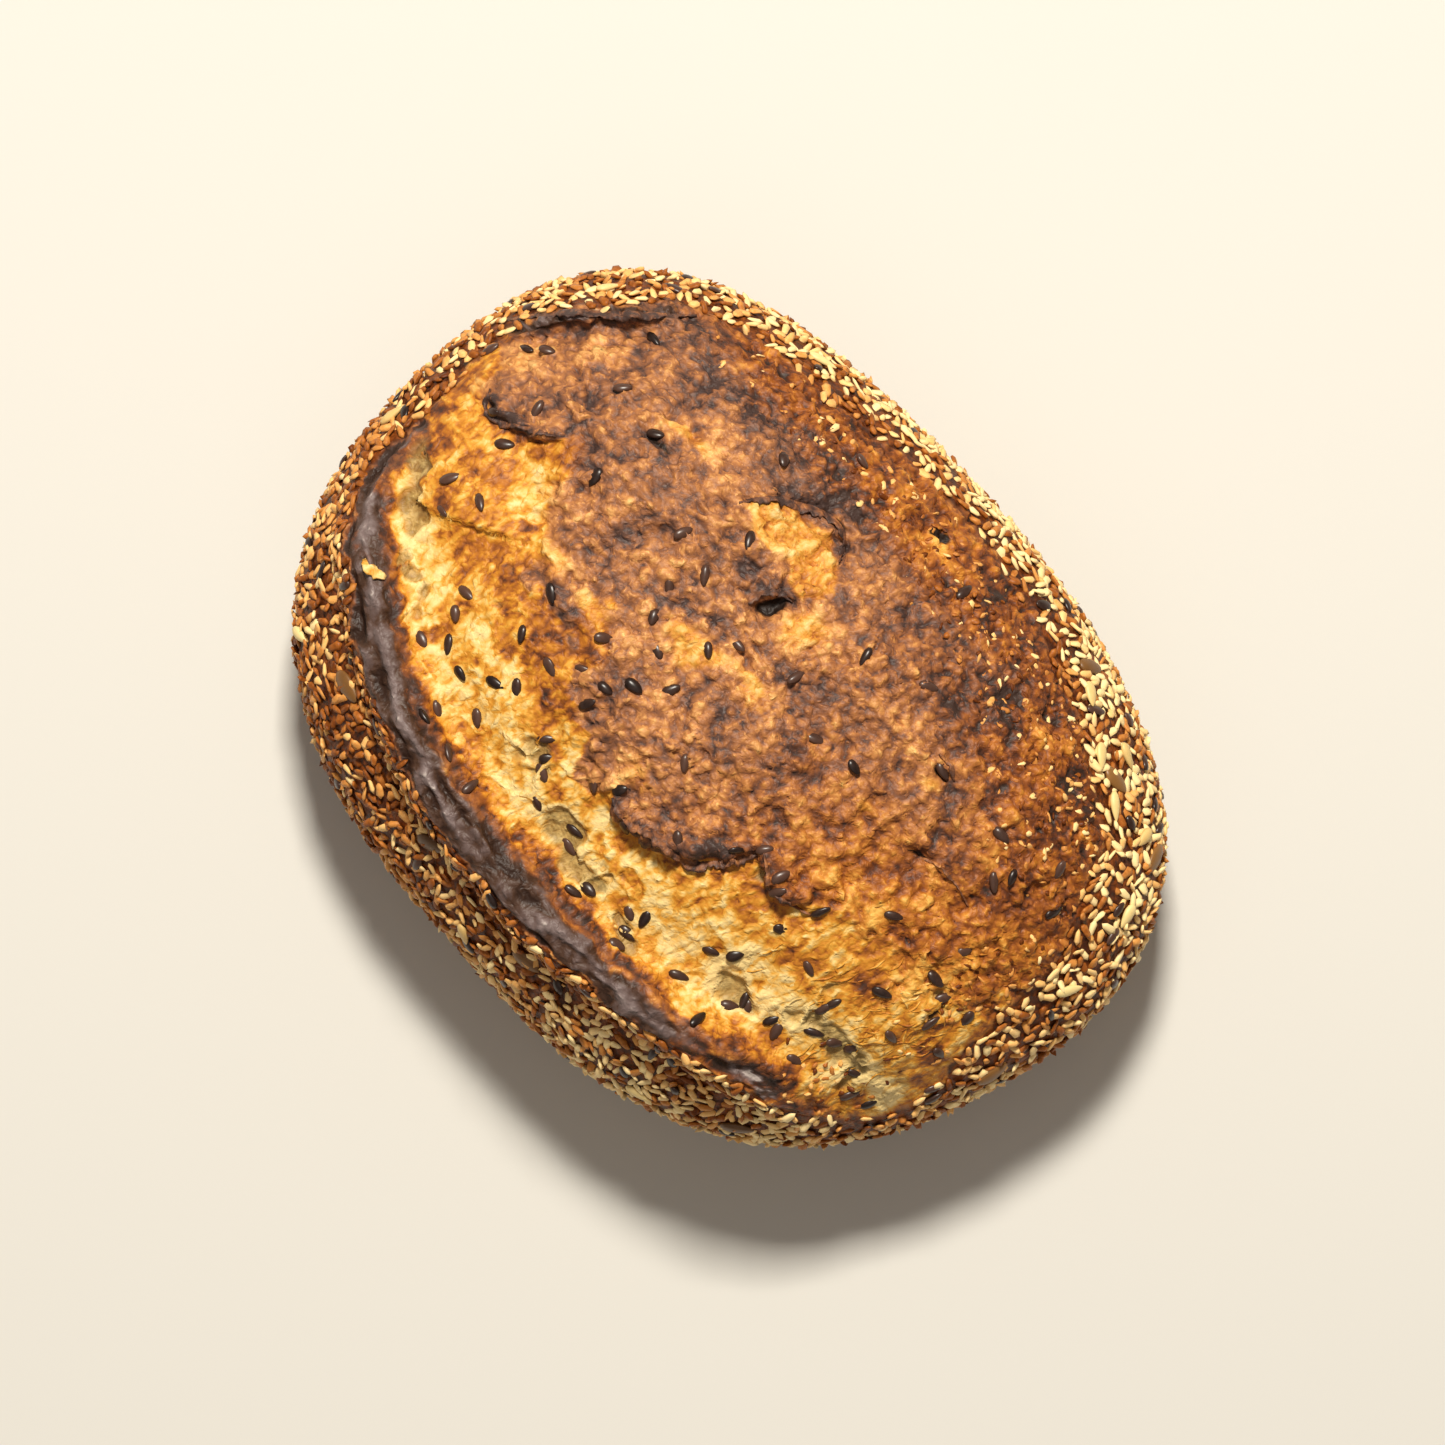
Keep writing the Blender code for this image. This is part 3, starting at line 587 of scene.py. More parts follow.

# How far each is baked, with painted shade in creases and knob borders and painted highlights on
# fold ridges mixed in.
pale_line = np.array(PALE_LINE_MM) / 1000
pale_gap, pale_share = line_distance(bare_x, bare_y, pale_line[:, :2])
pale_half = np.interp(pale_share, np.linspace(0, 1, len(pale_line)), pale_line[:, 2])
off_pale = np.abs(pale_gap) / pale_half + 0.5 * cloud(bare, 0.0100, 50, 3)
crumb_bake_and_shade = 0.11 + 0.28 * smooth_step(0.5, 1.7, off_pale) - 0.20 * pocket_rim
crumb_bake_and_shade += 0.34 * smooth_step(0.05, 0.75, cloud(bare, 0.0060, 51, 3))
crumb_bake_and_shade -= 0.24 * web + 0.12 * fine_web
# Painted shade: the crumb is darker at the borders between its small knobs.
crumb_bake_and_shade += 0.16 * (0.5 - small_tone) * small_knob + 0.12 * smooth_step(0.15, 0.0, small_border)
crumb_bake_and_shade += 0.12 * smooth_step(-0.082, -0.095, bare_x) + 0.24 * np.clip(burnt_and_shade, 0, 1)
crumb_bake_and_shade += 0.07 * smooth_step(0.0, -0.03, bare_x) - 0.03 * smooth_step(0.070, 0.085, bare_x)
crumb_bake_and_shade -= 0.08 * smooth_step(0.02, 0.05, bare_x) * smooth_step(2.0, 0.8, off_pale)
crumb_bake_and_shade -= 0.18 * np.clip(gold, 0, 2) * smooth_step(-0.045, -0.055, bare_x)
fringe_bake = 0.46 + 0.30 * (1 - drops) + 0.26 * (drop_tone - 0.5)
fringe_bake += 0.16 * cloud(bare, 0.0060, 52, 2)
fringe_bake += 0.30 * smooth_step(0.0022, 0.0, np.abs(ear_wobble - ear_high))
crumb_bake_and_shade += fringe * (fringe_bake - crumb_bake_and_shade)
ruddy = smooth_step(-0.005, 0.060, bare_x + 3 * ragged)
ruddy *= 1 - spot_cover(bare_x, bare_y, millimetres(TAN_SPOTS_MM))
ruddy = np.maximum(smooth_step(0.051, 0.064, bare_y + 2 * ragged), ruddy)
skin_bake_and_shade = 0.52 - 0.38 * np.clip(gold, 0, 1.1) + 0.24 * np.clip(burnt_and_shade, 0, 1)
skin_bake_and_shade += 0.10 * cloud(bare, 0.0130, 53, 2) + 0.24 * (0.5 - knob_tone) * knob
# Painted highlight and painted shade that follow the relief: fold ridges lighter, creases and the
# borders between knobs darker.
skin_bake_and_shade += 0.20 * (0.5 - small_tone) * small_knob - 0.10 * (folds - 0.2) + 0.16 * crease
skin_bake_and_shade += 0.12 * smooth_step(0.16, 0.0, knob_border)
skin_bake_and_shade += 0.08 * smooth_step(0.16, 0.0, small_border)
skin_bake_and_shade += 0.20 * rim * (0.9 + cloud(bare, 0.004, 54))
skin_bake_and_shade += 0.04 * smooth_step(0.040, 0.060, bare_x) * smooth_step(0.085, 0.070, bare_x)
skin_bake_and_shade += 0.09 * smooth_step(0.030, 0.060, bare_y) + 0.15 * cloud(warped, 0.0050, 62, 2)
skin_bake_and_shade += 0.06 * island - 0.05 * smooth_step(0.076, 0.090, bare_x)
bake = crumb * crumb_bake_and_shade + (1 - crumb) * skin_bake_and_shade
ear_across = np.clip((ear_wobble - ear_low) / (ear_high - ear_low), 0.0, 1.0)
# The ear: darker at its charred edges, lighter along the middle of its crest, a painted highlight;
# its grain is darker in the creases and lighter on top, painted shade and painted highlight.
char = 0.27 + 0.36 * np.exp(-((ear_across - 0.46) / 0.21) ** 2) + 0.30 * (ear_grain - 0.45)
ear_way = ear_share + 0.12 * cloud(bare, 0.0060, 60, 2)
singed = np.maximum(smooth_step(0.62, 0.90, ear_way), 0.8 * smooth_step(0.24, 0.08, ear_way))
# Painted glints: pale patches near the ear's far end stand for highlights on its gloss, which is
# also made glossier there.
painted_glint = np.exp(-(((ear_share - 0.850) / 0.050) ** 2) - ((ear_across - 0.40) / 0.38) ** 2)
painted_glint *= ear_band * smooth_step(-0.02, 0.22, cloud(bare, 0.0018, 63))
char += 0.13 * smooth_step(0.72, 0.50, ear_share)
char = np.maximum(char, 1.3 * painted_glint)
# Painted shade: the ear's grain also darkens its baked colour in the creases.
ear_bake_and_shade = 0.68 + 0.16 * smooth_step(0.30, 0.10, ear_share) + 0.26 * (0.5 - ear_grain)
ear_bake_and_shade += 0.16 * cloud(bare, 0.0040, 61, 2)
bake += ear_band * (ear_bake_and_shade - bake)


def store(mesh, name, values):
    """Keeps one number for each corner point of a mesh, for its material to read."""
    layer = mesh.attributes.new(name, "FLOAT", "POINT")
    layer.data.foreach_set("value", np.asarray(values, np.float32))


def add_piece(name, mesh):
    """The smooth-shaded object of a finished mesh, at the scene's origin."""
    for face in mesh.polygons:
        face.use_smooth = True
    piece = bpy.data.objects.new(name, mesh)
    bpy.context.scene.collection.objects.link(piece)
    return piece


ear_cover = ear_band * (1 - 0.62 * singed) * (1 - 0.45 * smooth_step(0.60, 1.0, ear_across))
for name, values in {
    "bake": np.clip(bake, -0.2, 1.2),
    "skin": np.clip(1 - crumb - 0.8 * smooth_step(0.35, 0.9, gold), 0.0, 1.0),
    "ruddy": np.maximum(ruddy * open_face, ear_band),
    "pocket": pocket,
    "crumb": crumb,
    "pit": pit * on_top,
    "ear": np.max([ear_cover, painted_glint, 0.9 * lip_band], axis=0),
    "char": np.clip(char, 0.0, 1.3),
    "coat": coat,
}.items():
    store(crust_mesh, name, values)
crust = add_piece("loaf_crust", crust_mesh)


class Wire:
    """A value inside a material. Arithmetic on it adds the Math nodes that work it out."""

    def __init__(self, tree, socket):
        self.tree = tree
        self.socket = socket

    def node(self, kind, settings, values, output=0):
        """Any node by its type: its settings first, and then its sockets' values or links."""
        made = self.tree.nodes.new("ShaderNode" + kind)
        for name, value in settings.items():
            if name == "stops":
                ramp = made.color_ramp.elements
                ramp.remove(ramp[1])
                ramp[0].position = value[0][0]
                ramp[0].color = (*value[0][1], 1.0)
                for stop, colour in value[1:]:
                    ramp.new(stop).color = (*colour, 1.0)
            else:
                setattr(made, name, value)
        for name, value in values.items():
            if isinstance(value, Wire):
                self.tree.links.new(value.socket, made.inputs[name])
            else:
                made.inputs[name].default_value = value
        return Wire(self.tree, made.outputs[output])

    def math(self, operation, first, second=0.0):
        return self.node("Math", {"operation": operation}, {0: first, 1: second})

    def __add__(self, other):
        return self.math("ADD", self, other)

    __radd__ = __add__

    def __sub__(self, other):
        return self.math("SUBTRACT", self, other)

    def __rsub__(self, other):
        return self.math("SUBTRACT", other, self)

    def __mul__(self, other):
        return self.math("MULTIPLY", self, other)

    __rmul__ = __mul__

    def between(self, low, high):
        """0 below low, 1 above high, and smooth between them."""
        values = {"Value": self, "From Min": low, "From Max": high}
        return self.node("MapRange", {"interpolation_type": "SMOOTHSTEP"}, values)

    def tint(self, low, high):
        """A colour that goes from low to high as this value goes from 0 to 1."""
        ends = [(*end, 1.0) if isinstance(end, tuple) else end for end in (low, high)]
        return self.node("Mix", {"data_type": "RGBA"}, {0: self, 6: ends[0], 7: ends[1]}, 2)

    def ramp(self, stops):
        """The colour that this value picks from a row of stops."""
        return self.node("ValToRGB", {"stops": stops}, {"Fac": self})

    def feed(self, shader, name):
        """Leads the value to one socket of a shader."""
        self.tree.links.new(self.socket, shader.inputs[name])


def new_material(name):
    """A material, its Principled shader and a wire that reads Object coordinates."""
    material = bpy.data.materials.new(name)
    material.use_nodes = True
    tree = material.node_tree
    coordinates = tree.nodes.new("ShaderNodeTexCoord")
    return material, tree.nodes["Principled BSDF"], Wire(tree, coordinates.outputs["Object"])


def read(place, name):
    """The number that a mesh keeps under this name."""
    return place.node("Attribute", {"attribute_name": name}, {}, 2)


def noise(place, scale, detail=3.0, rough=0.55, warp=0.0):
    """Blender's cloudy noise, from 0 to 1."""
    values = {"Vector": place, "Scale": scale, "Detail": detail}
    return place.node("TexNoise", {}, {**values, "Roughness": rough, "Distortion": warp})


def small_cells(place, scale, smoothness):
    """Small cells: how far each place is from its cell's middle, and each cell's own tone."""
    values = {"Vector": place, "Scale": scale}
    tone = place.node("TexVoronoi", {"feature": "F1"}, values, 1)
    values["Smoothness"] = smoothness
    return place.node("TexVoronoi", {"feature": "SMOOTH_F1"}, values), tone


def uneven(baked, cell, cell_tone, shares):
    """Baked tone pushed about its means by mottle, cells and specks, each by its share. The cells
    push it darker towards their borders, a painted shade in the creases between them.
    """
    patterns = ((mottle, 0.5), (cell, CELL_MEAN), (cell_tone, 0.5), (speck, 0.5))
    for (pattern, mean), share in zip(patterns, shares):
        baked = baked + (pattern - mean) * share
    return baked


CRUMB_BAKE = (
    (0.0, (0.83, 0.61, 0.26)), (0.14, (0.77, 0.480, 0.142)), (0.28, (0.69, 0.335, 0.044)),
    (0.42, (0.56, 0.215, 0.018)), (0.56, (0.39, 0.125, 0.013)), (0.70, (0.225, 0.064, 0.012)),
    (0.85, (0.10, 0.031, 0.013)), (1.0, (0.038, 0.020, 0.015)),
)
SKIN_BAKE = (
    (0.10, (0.81, 0.49, 0.175)), (0.30, (0.65, 0.325, 0.108)), (0.46, (0.48, 0.200, 0.063)),
    (0.60, (0.33, 0.128, 0.047)), (0.74, (0.215, 0.086, 0.041)), (0.88, (0.120, 0.055, 0.036)),
    (1.0, (0.056, 0.031, 0.026)),
)
RIM_BAKE = (
    (0.10, (0.76, 0.41, 0.085)), (0.30, (0.60, 0.245, 0.034)), (0.46, (0.44, 0.148, 0.017)),
    (0.60, (0.32, 0.094, 0.013)), (0.74, (0.195, 0.052, 0.010)), (0.88, (0.092, 0.026, 0.010)),
    (1.0, (0.036, 0.018, 0.012)),
)
POCKET_GREY, POCKET_OLIVE = (0.50, 0.352, 0.132), (0.20, 0.120, 0.036)
MOTTLE_SCALE, SPECK_SCALE, BEND_SCALE, FLAKE_SCALE, FIBRE_SCALE = 230.0, 760.0, 330.0, 410.0, 560.0
BEND_REACH = 0.0032
FIBRE_TURN, FIBRE_STRETCH = math.radians(20), (1.0, 0.42, 1.0)
CELL_MEAN = 0.36
CRUMB_UNEVEN, SKIN_UNEVEN = (0.42, 0.38, 0.26, 0.16), (0.48, 0.52, 0.22, 0.22)
RELIEF_HEIGHT = 0.0012
# The ear's colours, from charred black at its edges through plum grey, lighter along the painted
# highlight of its crest, to the pale grey of its painted glints.
EAR_CHAR_AND_SHEEN = (
    (0.0, (0.026, 0.010, 0.005)), (0.25, (0.065, 0.030, 0.017)), (0.48, (0.116, 0.075, 0.067)),
    (0.75, (0.178, 0.130, 0.125)), (0.88, (0.225, 0.170, 0.162)), (1.0, (0.46, 0.39, 0.36)),
)
COAT_DARK, COAT_WARM = (0.052, 0.011, 0.002), (0.250, 0.060, 0.006)
# Painted shadow: the near black of the pits and cracks.
PIT_SHADOW_DARK = (0.016, 0.008, 0.005)

crust_material, crust_shader, place = new_material("baked_crust")
mottle = noise(place, MOTTLE_SCALE, 4.0, 0.52, 0.5)
speck = noise(place, SPECK_SCALE, 2.0, 0.5, 0.4)
bend_values = {"Vector": place, "Scale": BEND_SCALE, "Detail": 2.0, "Distortion": 0.6}
bend = place.node("TexNoise", {}, bend_values, 1)
bent_values = {0: bend, 1: (BEND_REACH, BEND_REACH, BEND_REACH), 2: place}
bent = place.node("VectorMath", {"operation": "MULTIPLY_ADD"}, bent_values)
drawn_values = {"Vector": bent, "Rotation": (0.0, 0.0, FIBRE_TURN), "Scale": FIBRE_STRETCH}
drawn = place.node("Mapping", {}, drawn_values)
flake, flake_tone = small_cells(bent, FLAKE_SCALE, 0.45)
fibre, fibre_tone = small_cells(drawn, FIBRE_SCALE, 0.3)
crumb_here = read(place, "crumb")
# Painted shade: the small cells darken crumb and skin towards their borders, in the creases.
crumb_baked_and_shaded = uneven(read(place, "bake"), fibre, fibre_tone, CRUMB_UNEVEN)
skin_baked_and_shaded = uneven(read(place, "bake"), flake, flake_tone, SKIN_UNEVEN)
skin_baked_and_shaded = skin_baked_and_shaded - speck.between(0.60, 0.70) * 0.22
colour = read(place, "skin").tint(crumb_baked_and_shaded.ramp(CRUMB_BAKE), skin_baked_and_shaded.ramp(SKIN_BAKE))
colour = (read(place, "ruddy") * (1 - crumb_here)).tint(colour, skin_baked_and_shaded.ramp(RIM_BAKE))
pocket_colour = (mottle * 0.7 + speck * 0.5).between(0.47, 0.77).tint(POCKET_OLIVE, POCKET_GREY)
colour = (read(place, "pocket") * 0.85).tint(colour, pocket_colour)
# The ear's charred colour with its painted sheen; flake borders are darkened as painted shade.
char_and_sheen_tone = read(place, "char") + (mottle - 0.5) * 0.70 + (speck - 0.5) * 0.30
char_and_sheen_tone = char_and_sheen_tone - (flake - CELL_MEAN) * 0.40
ear_here = (read(place, "ear") + (mottle - 0.5) * 0.9).between(0.25, 0.75)
colour = ear_here.tint(colour, char_and_sheen_tone.ramp(EAR_CHAR_AND_SHEEN))
coat_colour = (mottle * 0.6 + speck * 0.4).between(0.40, 0.66).tint(COAT_DARK, COAT_WARM)
colour = read(place, "coat").between(0.2, 0.8).tint(colour, coat_colour)
# Painted shadow: the pits and cracks are coloured near black.
colour = read(place, "pit").between(0.25, 0.75).tint(colour, PIT_SHADOW_DARK)
colour.feed(crust_shader, "Base Color")
rough = 0.54 - read(place, "ear") * 0.04 - read(place, "char").between(1.0, 1.25) * 0.22
rough = rough + (speck - 0.5) * 0.30
rough.feed(crust_shader, "Roughness")
relief = mottle * 0.38 + speck * 0.12 - flake * 0.62 * (1 - crumb_here) - fibre * 0.44 * crumb_here
bump = place.node("Bump", {}, {"Strength": 1.0, "Distance": RELIEF_HEIGHT, "Height": relief})
bump.feed(crust_shader, "Normal")
crust_shader.inputs["Specular IOR Level"].default_value = 0.3
crust_mesh.materials.append(crust_material)
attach(crust, "root")
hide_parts("loaf")


# Torn skin: where the loaf split, the brown skin stands off it in thin curled shreds, over the
# golden hollows, along the ledge and on the far lip, and one pale shred lies across the ear.
TORN_LINES_MM = (
    (((-38, 36), (-35.5, 40.5), (-32, 44.5), (-27, 47.8), (-21, 51), (-15, 50), (-11.5, 46)),
        2.8, 1.7, 0.80),
    (((-2, -31.8), (4, -33.0), (11, -30.2), (17, -29.4), (22, -27.0), (26, -22.0), (29, -16.0),
        (31, -11)), 3.4, 1.0, 0.72),
    (((31, -12), (35, -14), (39, -16.5), (44, -15), (50, -12.5)), 1.8, 0.8, 0.72),
    (((-97, 7), (-93.5, 3), (-88, 5), (-83, 8.5), (-78, 12)), 2.4, 0.5, 0.82),
    (((-108.5, 20), (-104, 27), (-98, 35), (-91, 43), (-84.5, 51), (-80, 57)), 2.3, 1.6, 0.82),
    (((54, 15.5), (59, 18.3), (65, 19), (72, 18)), 1.5, 0.25, 0.66),
    (((-18, 22.5), (-17.6, 26), (-15.5, 30.0), (-11.5, 31)), 2.6, 0.9, 0.80),
    (((-5, 69), (-1, 71), (4, 70.5)), 1.6, 0.8, 0.66),
    (((39, 35.5), (43, 36), (46.5, 34)), 1.5, 0.8, 0.60),
)
EAR_SHRED_MM = (((-84, -42.5), (-81, -43.0), (-77.5, -41.5)), 3.0, 0.6, 0.10)
EAR_SHRED_CORNER = (-0.070, -0.038)
SHRED_THICKNESS, SHRED_ROOT, SHRED_SUNK = 0.00045, 0.45, 0.0007
SHRED_TAPER, SHRED_CREST, SHRED_RUFFLE = 0.45, 0.8, 0.0003
SHRED_CUT, SHRED_ROWS, SHRED_LOOK, SHRED_JAGS, SHRED_SEED = 0.0007, 5, 0.0008, (0.15, 1.6), 900

RAY_HEIGHT = 0.3
crust_faces = [polygon.vertices[:] for polygon in crust_mesh.polygons]
crust_tree = BVHTree.FromPolygons(form.tolist(), crust_faces)


def crust_below(x, y):
    """Where a line straight down at one place meets the crust."""
    return crust_tree.ray_cast(Vector((x, y, RAY_HEIGHT)), Vector((0, 0, -1)))


def skin_height(x, y):
    """How high the crust is above one place of the base."""
    spot = crust_below(x, y)[0]
    return spot.z if spot else 0.0


def add_shred(shape, tone_layer, line_mm, width, lift, tone, number):
    """One thin shred, rooted along its line and standing free on the line's right."""
    line = curve_through(np.array(line_mm) / 1000, 8)
    lengths = np.concatenate([[0.0], np.cumsum(np.hypot(*np.diff(line, axis=0).T))])
    pieces = max(6, int(lengths[-1] / SHRED_CUT))
    grid = bmesh.ops.create_grid(shape, x_segments=pieces, y_segments=SHRED_ROWS, size=0.5)["verts"]
    rng = np.random.default_rng(SHRED_SEED + number)
    jags = rng.uniform(*SHRED_JAGS, pieces * 4)

    def point_after(way):
        return np.array([np.interp(way, lengths, line[:, 0]), np.interp(way, lengths, line[:, 1])])

    for vertex in grid:
        share, across = vertex.co.x + 0.5, vertex.co.y + 0.5
        way = share * lengths[-1]
        middle = point_after(way)
        run = point_after(way + SHRED_LOOK) - point_after(way - SHRED_LOOK)
        run /= np.linalg.norm(run)
        fade = math.sin(math.pi * min(max(share, 0.02), 0.98)) ** SHRED_TAPER
        jag = jags[int(share * pieces * 0.9)] * 0.5 + jags[int(share * pieces * 0.3)] * 0.5
        reach = (across - SHRED_ROOT) * width / 1000 * fade * (jag if across > SHRED_ROOT else 1.0)
        spot = middle + np.array([run[1], -run[0]]) * reach
        curl = math.sin(min(across, SHRED_CREST) / SHRED_CREST * math.pi / 2)
        rise = lift / 1000 * fade * curl
        rise -= SHRED_SUNK * (1 - across) ** 2
        rise += SHRED_RUFFLE * jags[int(share * pieces * 0.6) + pieces] * across
        vertex.co = (*spot, skin_height(*middle) * 0.7 + skin_height(*spot) * 0.3 + rise)
        vertex[tone_layer] = tone + 0.12 * (across - 0.5) + rng.uniform(-0.05, 0.05)


shreds_shape = bmesh.new()
shred_tone = shreds_shape.verts.layers.float.new("bake")
for number, (line_mm, width, lift, tone) in enumerate((*TORN_LINES_MM, EAR_SHRED_MM)):
    add_shred(shreds_shape, shred_tone, line_mm, width, lift, tone, number)
bmesh.ops.recalc_face_normals(shreds_shape, faces=shreds_shape.faces[:])
bmesh.ops.solidify(shreds_shape, geom=shreds_shape.faces[:], thickness=SHRED_THICKNESS)
shreds_mesh = bpy.data.meshes.new("torn_skin")
shreds_shape.to_mesh(shreds_mesh)
shreds_shape.free()
shred_points = np.array([vertex.co for vertex in shreds_mesh.vertices])
pale_shred = (shred_points[:, :2] < EAR_SHRED_CORNER).all(axis=1)
store(shreds_mesh, "skin", np.where(pale_shred, 0.0, 1.0))
store(shreds_mesh, "ruddy", smooth_step(0.054, 0.064, shred_points[:, 1]))
torn_skin = add_piece("torn_skin", shreds_mesh)
shreds_mesh.materials.append(crust_material)
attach(torn_skin, "root")


# Strands: fine threads of stretched dough, drawn across the open crumb when the loaf burst. Most
# run straight away from the ear and sink into the crumb at both ends.
STRAND_COUNT = 90
STRAND_SIDES, STRAND_CUTS = 5, 9
STRAND_WIDTH = (0.00030, 0.00055)
STRAND_LENGTH = (0.0040, 0.0110)
STRAND_SPOTS_MM = (
    (84, -20, 14, 15, 0, 1.0), (66, -24, 11, 10, 0, 0.7), (88, 4, 9, 12, 0, 0.6),
)
STRAND_TURN, STRAND_TURN_SPREAD, STRAND_CROSS_SHARE = math.radians(70), 0.26, 0.08
STRAND_BEND, STRAND_SWAY = 0.07, 0.05
STRAND_OFF_EAR, STRAND_OFF_COAT = 0.006, 0.001
STRAND_FLATNESS, STRAND_SINK, STRAND_TAPER = (1.5, 0.8), (0.12, 0.6), 0.80


def strand_shape(sides, cuts):
    """A thin closed rod along X from 0 to 1, cut crosswise so that it can be bent."""
    shape = bmesh.new()
    bmesh.ops.create_cone(shape, cap_ends=True, segments=sides, radius1=1.0, radius2=1.0, depth=1.0)
    along = [edge for edge in shape.edges if abs(edge.verts[0].co.z - edge.verts[1].co.z) > 0.5]
    bmesh.ops.subdivide_edges(shape, edges=along, cuts=cuts)
    bmesh.ops.recalc_face_normals(shape, faces=shape.faces[:])
    points = np.array([(vertex.co.z + 0.5, vertex.co.x, vertex.co.y) for vertex in shape.verts])
    faces = [[vertex.index for vertex in face.verts][::-1] for face in shape.faces]
    shape.free()
    return points, faces


strand_rng = np.random.default_rng(17)
rod_points, rod_faces = strand_shape(STRAND_SIDES, STRAND_CUTS)
strand_points, strand_faces, strand_tones = [], [], []
open_crumb = np.flatnonzero((crumb > 0.6) | ((bare_x > 0.07) & (open_face > 0.8) & (bare_y < 0.02)))
strand_places = bare_x[open_crumb], bare_y[open_crumb]
strand_chance = spot_cover(*strand_places, millimetres(STRAND_SPOTS_MM), 1.2)
strand_chance *= 1 - smooth_step(-0.3, 0.1, pocket_reach[open_crumb])
strand_chance /= strand_chance.sum()
for start in strand_rng.choice(open_crumb, STRAND_COUNT, replace=False, p=strand_chance):
    turn = STRAND_TURN + strand_rng.normal(0, STRAND_TURN_SPREAD)
    if strand_rng.uniform() < STRAND_CROSS_SHARE:
        turn += math.pi / 2
    length, width = strand_rng.uniform(*STRAND_LENGTH), strand_rng.uniform(*STRAND_WIDTH)
    bow, sway = strand_rng.normal(0, STRAND_BEND), strand_rng.uniform(0, 2 * math.pi)
    share = np.linspace(0, 1, STRAND_CUTS + 2)
    side = bow * length * np.sin(math.pi * share) + STRAND_SWAY * length * np.sin(7 * share + sway)
    path_x = bare_x[start] + (share - 0.5) * length * math.cos(turn) - side * math.sin(turn)
    path_y = bare_y[start] + (share - 0.5) * length * math.sin(turn) + side * math.cos(turn)
    off_ear = line_distance(path_x, path_y, EAR_LINE)[0].min()
    off_coat = closed_edge_depth(path_x, path_y, COAT_EDGE_MM).min()
    if off_ear < STRAND_OFF_EAR or off_coat < STRAND_OFF_COAT:
        continue
    path_z = np.array([skin_height(x, y) for x, y in zip(path_x, path_y)])
    path_z = np.convolve(np.pad(path_z, 1, mode="edge"), (0.25, 0.5, 0.25), mode="valid")
    to_end = np.abs(2 * share - 1)
    path_z -= width * (STRAND_SINK[0] + STRAND_SINK[1] * to_end**3)
    thick = 0.5 * width * (1 - STRAND_TAPER * to_end**2)
    step = np.round(rod_points[:, 0] * (STRAND_CUTS + 1)).astype(int)
    sideways = rod_points[:, 1] * thick[step] * STRAND_FLATNESS[0]
    rod = np.stack([
        path_x[step] - sideways * math.sin(turn),
        path_y[step] + sideways * math.cos(turn),
        path_z[step] + rod_points[:, 2] * thick[step] * STRAND_FLATNESS[1],
    ], axis=1)
    first = len(strand_points) * len(rod)
    strand_faces += [[corner + first for corner in face] for face in rod_faces]
    strand_points.append(rod)
    strand_tone = np.clip(bake[start], 0.16, 0.5) + strand_rng.normal(0.02, 0.08)
    strand_tones.append(np.full(len(rod), strand_tone))
strands_mesh = bpy.data.meshes.new("crumb_strands")
strands_mesh.from_pydata(np.vstack(strand_points).tolist(), [], strand_faces)
strands_shape = bmesh.new()
strands_shape.from_mesh(strands_mesh)
bmesh.ops.recalc_face_normals(strands_shape, faces=strands_shape.faces[:])
strands_shape.to_mesh(strands_mesh)
strands_shape.free()
store(strands_mesh, "bake", np.concatenate(strand_tones))
store(strands_mesh, "crumb", np.ones(len(strands_mesh.vertices)))
strands = add_piece("crumb_strands", strands_mesh)
strands_mesh.materials.append(crust_material)
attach(strands, "root")


# Sesame: thousands of small flat drop-shaped seeds that the wet loaf was rolled in. They lie one or
# two deep over its sides and shoulders. Their tone is painted lighter on the side that faces the
# lamp, a painted light, is raised in listed pale spots, and a share are toasted darker at random.
SESAME_SIZE = (0.0042, 0.0023, 0.0011)
SESAME_SIDES, SESAME_RINGS = 6, 3
SESAME_COUNT = 6000
SESAME_SPACING = 0.00200
SESAME_TIP = 0.55
THIN_COAT_SPOTS_MM = (
    (103, 8, 7, 22, 0, 0.55), (96, -36, 14, 9, -35, 0.75), (104, -22, 5, 12, 0, 0.5),
    (-100, 39, 9, 4, 52, 0.5), (-108, 5, 4, 10, 0, 0.35), (80, 46, 8, 4, -60, 0.4),
    (10, 75, 30, 2, 0, 0.3),
)
PALE_COAT_SPOTS_MM = (
    (75, 64, 30, 13, -28, 0.30), (98, 34, 10, 16, 0, 0.16), (108, -5, 5, 12, 0, 0.12),
    (-70, 66, 25, 8, 20, 0.10), (-100, -45, 18, 10, -50, 0.14), (-75, -62, 22, 8, -25, 0.08),
    (-30, 80, 30, 5, 8, 0.12), (85, -54, 24, 12, -30, 0.44), (20, -76, 40, 8, 0, 0.13),
    (-104, 30, 6, 16, -30, 0.08), (52, -71, 20, 8, 8, 0.46), (0, -80, 24, 6, 0, 0.12),
    (50, 76, 18, 5, -15, 0.16), (-54, -72, 16, 6, -10, -0.14), (10, 80, 40, 6, 0, 0.25),
    (45, -74, 22, 9, 8, 0.24), (-105, 0, 8, 34, 0, 0.08), (-100, 40, 8, 12, -30, 0.10),
    (0, -78, 40, 6, 0, 0.06),
)
SESAME_SPREAD, SESAME_TILT, COAT_LIFT = 0.22, 0.38, (-0.0001, 0.0009)
